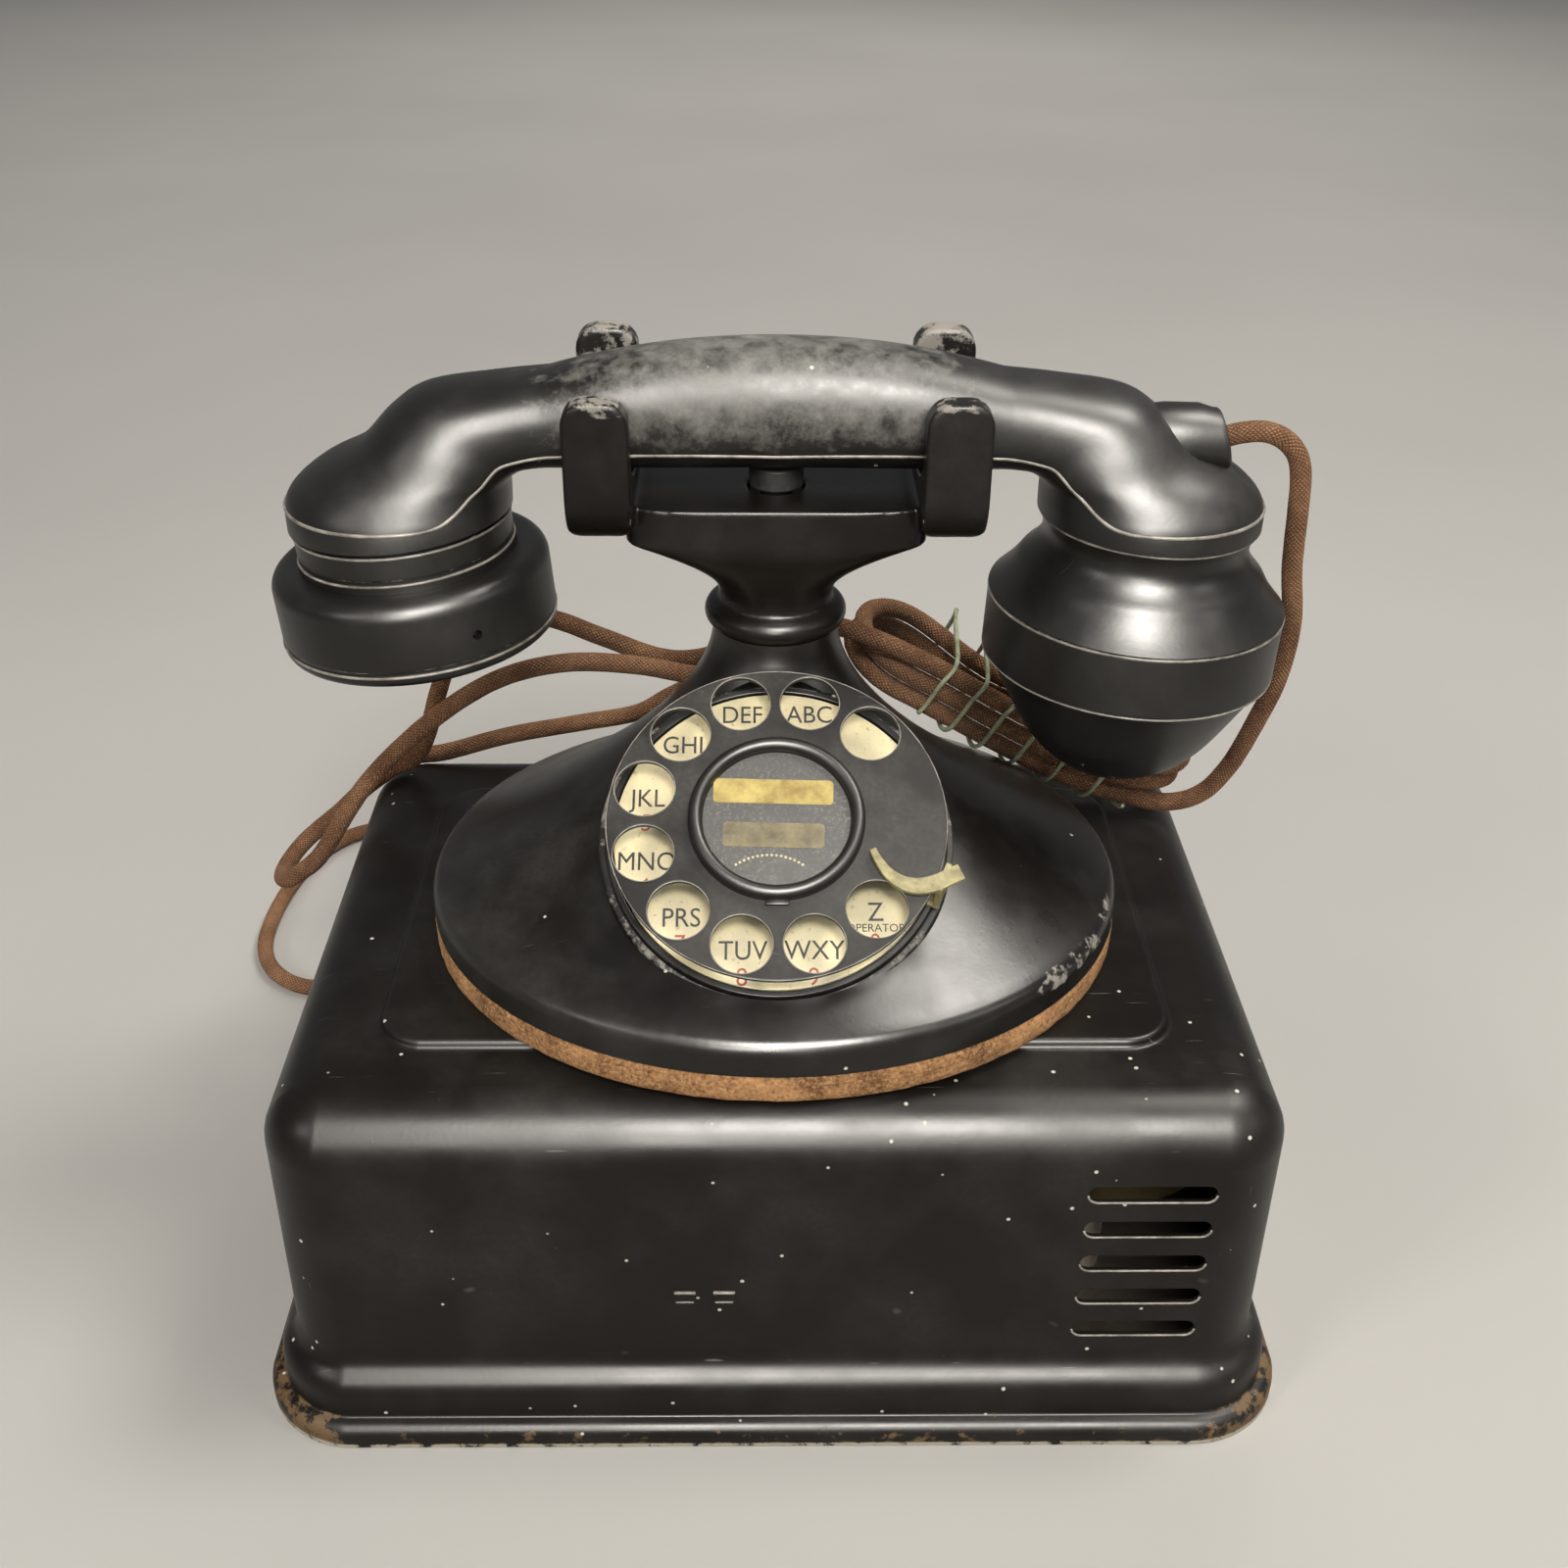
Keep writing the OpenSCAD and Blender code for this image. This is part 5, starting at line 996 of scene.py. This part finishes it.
class TELEPHONE_OT_cradle(bpy.types.Operator):
    """Cradle with its four prongs, and the plunger between them"""

    bl_idname = "telephone.cradle"
    bl_label = "Cradle"

    def execute(self, context):
        cradle = remeshed_piece("cradle", "cradle", STAND, "japan", 0.55 * MM, 6)
        edge_y = min(v.co.y / MM for v in cradle.data.vertices if abs(v.co.z / MM - TRAY_Z) < 1)

        def wear(p, n):
            top = REAR_TOP if p.y > NECK_Y else FRONT_TOP
            # A pale line along the tray's front top edge: painted highlight as well as worn paint
            front = p.y < edge_y + 1.3 and TRAY_Z - 1.4 < p.z < TRAY_Z + 0.4 and abs(p.x) < 31
            if p.y > NECK_Y and p.z > top - 9:
                return 0.585 if p.z > top - 0.9 else 0.54
            return 0.6 if front else 0.53 if p.z > top - 1.2 else 0.44 if p.z > top - 3 else 0.0
        set_wear_and_painted_light(cradle, wear)
        copied_piece("plunger", "rubber", PLUNGER, "bakelite", 0.5 * MM)
        return {"FINISHED"}


LEGENDS = ("", "ABC", "DEF", "GHI", "JKL", "MNO", "PRS", "TUV", "WXY", "Z")
HOLE_RING, FIRST_HOLE, HOLE_STEP, PLATE_TOP = 29.1, 45.4, 30, -8.6
HOLE_R, WHEEL_R, RIM_IN, CARD_R = 6.4, 36.3, 0.14, 15.7
# Height of a capital letter as a share of the font's size
CAP_SHARE = 0.7
DOTS, DOT_R, DOT_X, DOT_TOP, DOT_ARC, DOT_SPAN = 16, 0.3, -1.6, -8.5, 12.2, math.radians(70)


def hole_at(k):
    """Middle of a finger hole on the dial, in mm."""
    a = math.radians(FIRST_HOLE + k * HOLE_STEP)
    return HOLE_RING * math.cos(a), HOLE_RING * math.sin(a)


def flat_words(items):
    """Flat words on the dial: each item is a word, its place in mm, its height and its squeeze."""
    whole = bmesh.new()
    for word, x, y, high, squeeze in items:
        text = bpy.data.curves.new("word", "FONT")
        text.body, text.align_x, text.align_y = word, "CENTER", "CENTER"
        text.size = high / CAP_SHARE
        text.resolution_u = 4
        mesh = finished_mesh(raw_object("word", text), "word")
        place = DIAL @ Matrix.Translation(Vector((x, y, PLATE_TOP + 0.03)) * MM)
        mesh.transform(place @ Matrix.Diagonal((squeeze, 1, 1, 1)))
        add_mesh(whole, mesh)
        bpy.data.curves.remove(text)
    return whole


def dial_legends():
    """Letters and numerals of the number plate."""
    letters, numerals = [], []
    high, low = sizes().letter_h, sizes().numeral_h
    for k, word in enumerate(LEGENDS):
        x, y = hole_at(k)
        if word:
            letters.append((word, x + 0.2, y + (1.6 if len(word) > 1 else 2.6), high, 0.88))
        numerals.append((str((k + 1) % 10), x, y - 4.3, low, 0.9))
    letters.append(("OPERATOR", letters[-1][1], letters[-1][2] - 3.5, high * 0.42, 0.95))
    return flat_words(letters), flat_words(numerals)


def wheel_rims():
    """Pale edges of the finger wheel and its holes: painted highlight and wear."""
    bm = bmesh.new()
    for x, y, r in [(0, 0, WHEEL_R - RIM_IN)] + [(*hole_at(k), HOLE_R + RIM_IN) for k in range(len(LEGENDS))]:
        place = DIAL @ Matrix.Translation(Vector((x, y, 0)) * MM)
        add_mesh(bm, mesh_of("rim", turned(arc(r, -RIM_IN, 0.13, 0, 320, 8), place, 72)))
    return bm


def card_dots():
    """Bow of printed dots on the card."""
    bm = bmesh.new()
    for k in range(DOTS):
        a = DOT_SPAN * (k / (DOTS - 1) - 0.5)
        spot = Vector((DOT_X + DOT_ARC * math.sin(a), DOT_TOP - DOT_ARC * (1 - math.cos(a)), 0.53)) * MM
        place = DIAL @ Matrix.Translation(spot)
        bmesh.ops.create_circle(bm, cap_ends=True, segments=12, radius=DOT_R * MM, matrix=place)
    return bm


class TELEPHONE_OT_dial(bpy.types.Operator):
    """Finger wheel, number plate with its legends, case, card and finger stop"""

    bl_idname = "telephone.dial"
    bl_label = "Dial"

    def execute(self, context):
        wheel = copied_piece("finger_wheel", "wheel", ROTOR, "japan", 0.5 * MM)
        set_wear_and_painted_light(wheel, lambda p, n: 0.27)
        built("wheel_rims", wheel_rims(), "edge_wear_and_highlight", ROTOR, "japan", (), 180)
        copied_piece("dial_case", "casting", STAND, "japan", 0.3 * MM)
        copied_piece("number_plate", "enamel", STAND, "enamel", 0.12 * MM)
        copied_piece("finger_stop", "stop", STAND, "brass", 0.35 * MM)
        letters, numerals = dial_legends()
        built("dial_letters", letters, "ink", STAND, "enamel", (), 0)
        built("dial_numerals", numerals, "red", STAND, "enamel", (), 0)
        steps = sizes().turn_steps
        ring = [(15.9, 0.02), (15.8, 1.4)] + arc(17.3, 1.5, 1.5, 180, 0, 14) + [(18.8, 0.02)]
        bm = turned(ring, DIAL, steps)
        card_ring = built("card_ring_look", bm, "bakelite", ROTOR, "bakelite", ("card_ring",), 50)
        set_wear_and_painted_light(card_ring, lambda p, n: 0.28)
        bm = bmesh.new()
        bmesh.ops.create_cube(bm, size=1.0, matrix=Matrix.Diagonal((0.005, 0.0016, 0.0008, 1)))
        rounded(bm, bm.edges[:], 0.2, 2)
        bmesh.ops.transform(bm, matrix=DIAL @ Matrix.Translation((0, -0.0190, 0.0004)), verts=bm.verts)
        built("card_ring_tab", bm, "cradle", ROTOR, "bakelite", (), 40)
        disc = [(0, 0.1), (CARD_R, 0.1), (CARD_R, 0.5), (0, 0.5)]
        built("card_look", turned(disc, DIAL, steps), "card", ROTOR, "card", ("number_card",), 40)
        built("card_dots", card_dots(), "enamel", ROTOR, "card", (), 0)
        sheet = [(0, 0.72), (CARD_R, 0.72), (CARD_R, 0.95), (CARD_R - 0.4, 1.0), (0, 1.0)]
        built("window_look", turned(sheet, DIAL, steps), "clear", ROTOR, "celluloid", ("card_window",), 30)
        for name, finish, wide, high, up in (
                ("upper_slip", "slip", 25.6, 5.7, 6.3), ("lower_slip", "pale_slip", 21.5, 5.7, -3.9)):
            bm = bmesh.new()
            bmesh.ops.create_cube(bm, size=1.0, matrix=Matrix.Diagonal((wide * MM, high * MM, 0.14 * MM, 1)))
            upright = [e for e in bm.edges if abs(e.verts[0].co.z - e.verts[1].co.z) > 1e-6]
            rounded(bm, upright, 0.9, 4)
            place = DIAL @ Matrix.Translation(Vector((-0.7, up, 0.58)) * MM) @ Matrix.Rotation(-0.025, 4, "Z")
            bmesh.ops.transform(bm, matrix=place, verts=bm.verts)
            built(name, bm, finish, ROTOR, "card", (), 30)
        return {"FINISHED"}


def grip_spot(x):
    """Section of the grip at x."""
    t = abs(x) / PIVOT_X
    z = GRIP_Z - BEND_DROP * t * t
    hh, hw = mix(GRIP_HH, BEND_HH, t ** 2.2), mix(GRIP_HW, BEND_HW, t * t)
    return lambda a: (x, NECK_Y + hw * power(math.cos(a), 2 / 2.4), z + hh * power(math.sin(a), 2 / 2.4))


BEND_SPANS = 6
BEND_STEPS = 8 * BEND_SPANS


def end_outlines(side):
    """Outer and inner outline of a handle's end, from the cup's axis and joint."""
    c, n = CUP_R * math.cos(LEAN[side]), CUP_R * math.sin(LEAN[side])
    top, low = CUP_DROP - BEND_DROP + BEND_HH, CUP_DROP - BEND_DROP - BEND_HH
    crown = [(c, -n), (CUP_R - 0.3, 3.5), (CUP_R - 2.3, 7.2), (16.6, 11.7), (7.5, 16.3), (0.3, 23.5), (-7.5, 28.4),
             (-22, top - 1.3), (PIVOT_X - CUP_X, top)]
    throat = [(-c, n), (-CUP_R, 4.5), (-CUP_R, 6.8), (-CUP_R - 0.3, 8.8), (-CUP_R - 1.4, 10.1), (-CUP_R - 2.8, 10.9),
              (-CUP_R - 4.4, 11.4), (-CUP_R - 6.8, low - 0.1), (PIVOT_X - CUP_X, low)]
    return smooth_route(crown, BEND_SPANS), smooth_route(throat, BEND_SPANS)


OUTLINES = {side: end_outlines(side) for side in (-1, 1)}


def bend_spot(t, side):
    """Section of the bend, from the cup's mouth (0) to the grip (1)."""
    k = min(int(t * BEND_STEPS), BEND_STEPS - 1)
    o, i = (line[k].lerp(line[k + 1], t * BEND_STEPS - k) for line in OUTLINES[side])
    c, h, q = (o + i) / 2, (o - i) / 2, mix(2, 2.4, t)
    hw = mix(CUP_R, BEND_HW, ease(t))

    def spot(b):
        e = power(math.sin(b), 2 / q)
        return (side * (CUP_X + c.x + h.x * e), NECK_Y + hw * power(math.cos(b), 2 / q), JOINT_Z + c.y + h.y * e)
    return spot


def cup_place(side):
    """Place of an end cup's axis, at its mouth."""
    return Matrix.Translation(Vector((side * CUP_X, NECK_Y, JOINT_Z)) * MM) @ Matrix.Rotation(side * LEAN[side], 4, "Y")


RIDGE = ((0.125, 90), (0.125, 135), (0.125, 180), (0.135, 203), (0.2, 213), (0.32, 219), (0.45, 220), (0.6, 217),
         (0.75, 212), (0.9, 207), (1, 205))


def ridge_path(front):
    """Parting ridge round one cup, along the grip and round the other."""
    line = smooth_route([(t, a, 0) for t, a in RIDGE])

    def at(spot, angle):
        b = math.radians(angle if front else 540 - angle)
        return Vector(spot(b))
    left = [at(bend_spot(min(p.x, 1), -1), p.y) for p in line]
    grip = [at(grip_spot((k / 20 - 1) * PIVOT_X), 205 + 8 * (1 - abs(k / 20 - 1))) for k in range(1, 40)]
    right = [at(bend_spot(min(p.x, 1), 1), p.y) for p in reversed(line)]
    return left + grip + right


BOSS_SIDES, HANDLE_SIDES = 48, 72


def tilted_ring(bm, centre, way, radius):
    """Ring across a direction in the handset's upright plane."""
    side, across = Vector((0, 1, 0)), Vector((-way.z, 0, way.x))
    return ring_of(bm, BOSS_SIDES, lambda a: centre + radius * (math.cos(a) * side + math.sin(a) * across))


def handset_piece(name, bm, replaced=(), sharp=35, finish="bakelite"):
    """Moulded piece of the handset."""
    return built(name, bm, finish, HANDSET, "bakelite", replaced, sharp)


def edge_highlight_bead(name, place, radius, z):
    """Thin pale ring round a turned piece: painted highlight along its edge, with a little wear."""
    handset_piece(name, turned(arc(radius, z, 0.3, 0, 330, 11), place, 160), (), 180, "edge_wear_and_highlight")


def ring_wear_and_highlight(made, place, bands):
    """Worn edges of a turned piece, whose pale share also paints the highlight along them: each band is its lowest and
    highest local z in mm, its least radius and share.
    """
    back = place.inverted()

    def rule(p, n):
        q = back @ (p * MM) / MM
        near = [share for low, high, r, share in bands if low <= q.z <= high and q.xy.length >= r]
        return max(near, default=0.0)
    set_wear_and_painted_light(made, rule)


def build_handle():
    """Handle with grey bloom and painted sheen on the grip's top, the cord's boss and the parting ridge, whose pale
    colour paints its highlight.
    """
    bm = bmesh.new()
    rings = [ring_of(bm, HANDLE_SIDES, bend_spot(k / BEND_STEPS, -1)) for k in range(BEND_STEPS + 1)]
    rings += [ring_of(bm, HANDLE_SIDES, grip_spot((k / 14 - 1) * PIVOT_X)) for k in range(1, 28)]
    rings += [ring_of(bm, HANDLE_SIDES, bend_spot(k / BEND_STEPS, 1)) for k in range(BEND_STEPS, -1, -1)]
    joined_rings(bm, rings)
    handle = handset_piece("handle_look", bm, ("handset_handle",), 50, "grip")

    # Grey patches on the grip's top, strongest where it faces up: painted sheen, partly the bloom of old bakelite
    def bloom(p, n):
        return 0.54 * max(0, 1 - abs((p.x + 4) / 60) ** 3) * min(1, max(0, n.z + 0.92)) if p.z > 200 else 0.0
    set_wear_and_painted_light(handle, bloom)
    bm = bmesh.new()
    root = Vector((CUP_X + 1.5, NECK_Y, JOINT_Z + 17))
    level = Vector((1, 0, 0.04)).normalized()
    # The root tapers into the bend of the handle
    rings = [tilted_ring(bm, root + d * level, level, r)
             for d, r in ((-18, 3.5), (-13, 5.6), (-8, 7.1), (-4, 7.9), (0, 8.2))]
    rings.append(tilted_ring(bm, root.lerp(BOSS_FACE, 0.55), level, 7.7))
    rings += [tilted_ring(bm, BOSS_FACE - d * BOSS_WAY, BOSS_WAY, r)
              for d, r in ((1.2, 6.95), (0.5, 6.8), (0, 6.3), (0, 3.6), (0.8, 3.1))]
    joined_rings(bm, rings)
    handset_piece("cord_boss", bm, (), 40)
    # The ridges are pale: their colour paints the highlight along the mould's raised parting line
    for name, front in (("front_ridge", True), ("rear_ridge", False)):
        path = even_path(ridge_path(front), 1.2)[0]
        mesh = tube_mesh(name, path, sizes().ridge_d / MM / 2, 8, 0.05)
        place_piece(name, mesh, "edge_wear_and_highlight", HANDSET, "bakelite", (), 180)


COLLAR_R, EAR_R = 24.0, 31


def build_receiver(place, steps):
    """Receiver's collar and ear cap, with their worn edges and the painted highlights along them."""
    collar = [(0, 4), (20, 4), (20, -0.05), (23.3, -0.05), (23.3, -0.9), (23.8, -1.1), (COLLAR_R, -1.4),
              (COLLAR_R, -1.9), (COLLAR_R, -6.0), (COLLAR_R, -6.3), (23.8, -6.6), (23.4, -6.8), (23.4, -7.3),
              (23.8, -7.5), (COLLAR_R, -7.8), (COLLAR_R, -8.3), (COLLAR_R, -15.4), (0, -15.4)]
    made = handset_piece("receiver_collar", turned(collar, place, steps), ("receiver_case",))
    ring_wear_and_highlight(made, place, ((-1.5, -1.0, 23, 0.5), (-6.7, -6.2, 23, 0.5), (-7.9, -7.4, 23, 0.45)))
    cap = [(24.15, -9.6), (25.2, -9.5), (27, -9.5)] + arc(27, -13.5, 4, 78, 0, 7)
    cap += [(EAR_R, -24.2), (EAR_R, -24.6), (30.75, -25.0), (30.75, -25.5), (EAR_R, -25.9), (EAR_R, -26.2)]
    cap += arc(29, -26.5, 2, 0, -90, 5) + [(24.2, -28.5), (22.5, -27.6), (8, -23.6), (8, -20), (24.15, -19)]
    # Small hole in the side of the cap
    drill = [(0, 0), (1.1, 0), (1.1, 5), (0, 5)]
    at = place @ Matrix.Rotation(math.radians(-55.7), 4, "Z") @ Matrix.Translation((0.0285, 0, -0.0195))
    tool = turned(drill, at @ Matrix.Rotation(math.pi / 2, 4, "Y"), 24)
    mesh = drilled(turned(cap, place, steps), tool, "ear_cap_look")
    made = place_piece("ear_cap_look", mesh, "bakelite", HANDSET, "bakelite", ("ear_cap",), 35)
    ring_wear_and_highlight(made, place, ((-24.7, -24.5, 30.9, 0.55), (-26.0, -25.8, 30.9, 0.5), (-28.4, -27.2, 29, 0.36)))
    edge_highlight_bead("collar_bead", place, COLLAR_R, -1.4)
    edge_highlight_bead("groove_bead", place, COLLAR_R, -7.7)
    edge_highlight_bead("ear_cap_bead", place, 30.9, -25.9)


BELL_R, BELL_H, BAND_H, BOWL_H, MOUTH_R = 33.5, 19.5, 15.5, 27, 12


def build_transmitter(place, steps):
    """Transmitter's bell and mouthpiece, with their worn edges and the painted highlights along them."""
    flare = []
    for k in range(25):
        t = k / 24
        r = CUP_R - 0.3 - 2 * math.sin(math.pi * min(t / 0.6, 1)) + (BELL_R - CUP_R + 0.3) * t ** 2.2
        flare.append((r, -BELL_H * t))
    flare[0] = (CUP_R - 0.6, -0.05)
    bell = [(0, 4), (20, 4), (20, -0.05)] + flare
    bell += [(32.9, -BELL_H - 0.2), (30.5, -BELL_H - 0.2), (30.5, -BELL_H - 4.9), (0, -BELL_H - 4.9)]
    made = handset_piece("transmitter_bell_look", turned(bell, place, steps), ("transmitter_bell",))
    ring_wear_and_highlight(made, place, ((-1.0, 0, 23, 0.5),))
    top, low = -BELL_H - 0.3, -BELL_H - BAND_H
    bowl = []
    for k in range(29):
        t = k / 28
        bowl.append((MOUTH_R + (BELL_R - 1.3 - MOUTH_R) * (1 - 0.72 * t - 0.28 * t ** 6), low - BOWL_H * t))
    inner = [(r - 2, z + 2) for r, z in reversed(bowl)]
    piece = [(0, top - 5.2), (30.6, top - 5.2), (30.6, top), (32.6, top), (33.1, top - 0.1), (33.4, top - 0.35),
             (BELL_R, top - 0.7), (BELL_R, top - 1.2), (BELL_R, low + 1.6), (BELL_R, low + 1.1), (33.4, low + 0.7),
             (33.1, low + 0.3), (32.5, low)]
    piece += bowl + [(MOUTH_R - 0.7, low - BOWL_H - 0.25), (MOUTH_R - 1.4, low - BOWL_H)] + inner
    piece += [(30.2, top - 12.2), (26.2, top - 8.2), (0, top - 8.2)]
    made = handset_piece("mouthpiece_look", turned(piece, place, steps), ("mouthpiece",))
    ring_wear_and_highlight(made, place, ((top - 0.5, top, 33, 0.55), (low + 0.25, low + 0.8, 33, 0.5)))
    edge_highlight_bead("bell_bead", place, CUP_R - 0.75, -0.6)
    edge_highlight_bead("band_top_bead", place, 33.35, top - 0.4)
    edge_highlight_bead("band_low_bead", place, 33.2, low + 0.4)


class TELEPHONE_OT_handset(bpy.types.Operator):
    """Handset: handle with its parting ridge, receiver and transmitter"""

    bl_idname = "telephone.handset"
    bl_label = "Handset"

    def execute(self, context):
        build_handle()
        build_receiver(cup_place(-1), sizes().turn_steps)
        build_transmitter(cup_place(1), sizes().turn_steps)
        return {"FINISHED"}


WORKS = {
    "japan": "cover_brackets",
    "steel": "cover_screws gong_screws gong_posts armature_pin terminal_screws foot_screws plunger_spring dial_shaft "
             "receiver_unit transmitter_unit switch_springs",
    "dark_steel": "box_base_plate ringer_frame ringer_magnet armature clapper foot_plate switch_bracket",
    "gong": "gongs",
    "brass": "governor_bridge mainspring_drum main_gear governor_pinion governor_weights",
    "winding": "ringer_coils induction_coil",
    "fibre": "terminal_strip condenser",
    "rubber": "box_cord_bush base_cord_bushes",
}


class TELEPHONE_OT_works(bpy.types.Operator):
    """Finishes of the ringer, the dial's works and the other pieces that keep their CAD shape"""

    bl_idname = "telephone.works"
    bl_label = "Works"

    def execute(self, context):
        for finish, names in WORKS.items():
            for node in names.split():
                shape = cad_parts[node]
                if not shape.material_slots:
                    raise RuntimeError(node + " has no material slot")
                for slot in shape.material_slots:
                    slot.link = "OBJECT"
                    slot.material = FINISH[finish]
        return {"FINISHED"}


STEPS = (TELEPHONE_OT_stage, TELEPHONE_OT_cords, TELEPHONE_OT_bell_box, TELEPHONE_OT_base, TELEPHONE_OT_cradle,
         TELEPHONE_OT_dial, TELEPHONE_OT_handset, TELEPHONE_OT_works)


class TELEPHONE_PT_panel(bpy.types.Panel):
    """Builders and settings of the telephone"""

    bl_idname = "TELEPHONE_PT_panel"
    bl_label = "Desk telephone"
    bl_space_type = "VIEW_3D"
    bl_region_type = "UI"
    bl_category = "Telephone"

    def draw(self, context):
        for step in STEPS:
            self.layout.operator(step.bl_idname)
        for group in (context.scene.telephone_sizes, context.scene.telephone_colours, context.scene.telephone_stage):
            for key in group.bl_rna.properties.keys():
                if key not in {"rna_type", "name"}:
                    self.layout.prop(group, key)


GROUPS = {
    "telephone_colours": TelephoneColours,
    "telephone_sizes": TelephoneSizes,
    "telephone_stage": TelephoneStage,
}


def register():
    for item in (*GROUPS.values(), *STEPS, TELEPHONE_PT_panel):
        bpy.utils.register_class(item)
    for key, group in GROUPS.items():
        setattr(bpy.types.Scene, key, PointerProperty(type=group))


def unregister():
    for key in GROUPS:
        delattr(bpy.types.Scene, key)
    for item in reversed((*GROUPS.values(), *STEPS, TELEPHONE_PT_panel)):
        bpy.utils.unregister_class(item)


def main():
    register()
    bpy.ops.telephone.stage()
    bpy.ops.telephone.cords()
    bpy.ops.telephone.bell_box()
    bpy.ops.telephone.base()
    bpy.ops.telephone.cradle()
    bpy.ops.telephone.dial()
    bpy.ops.telephone.handset()
    bpy.ops.telephone.works()


if __name__ == "__main__":
    main()
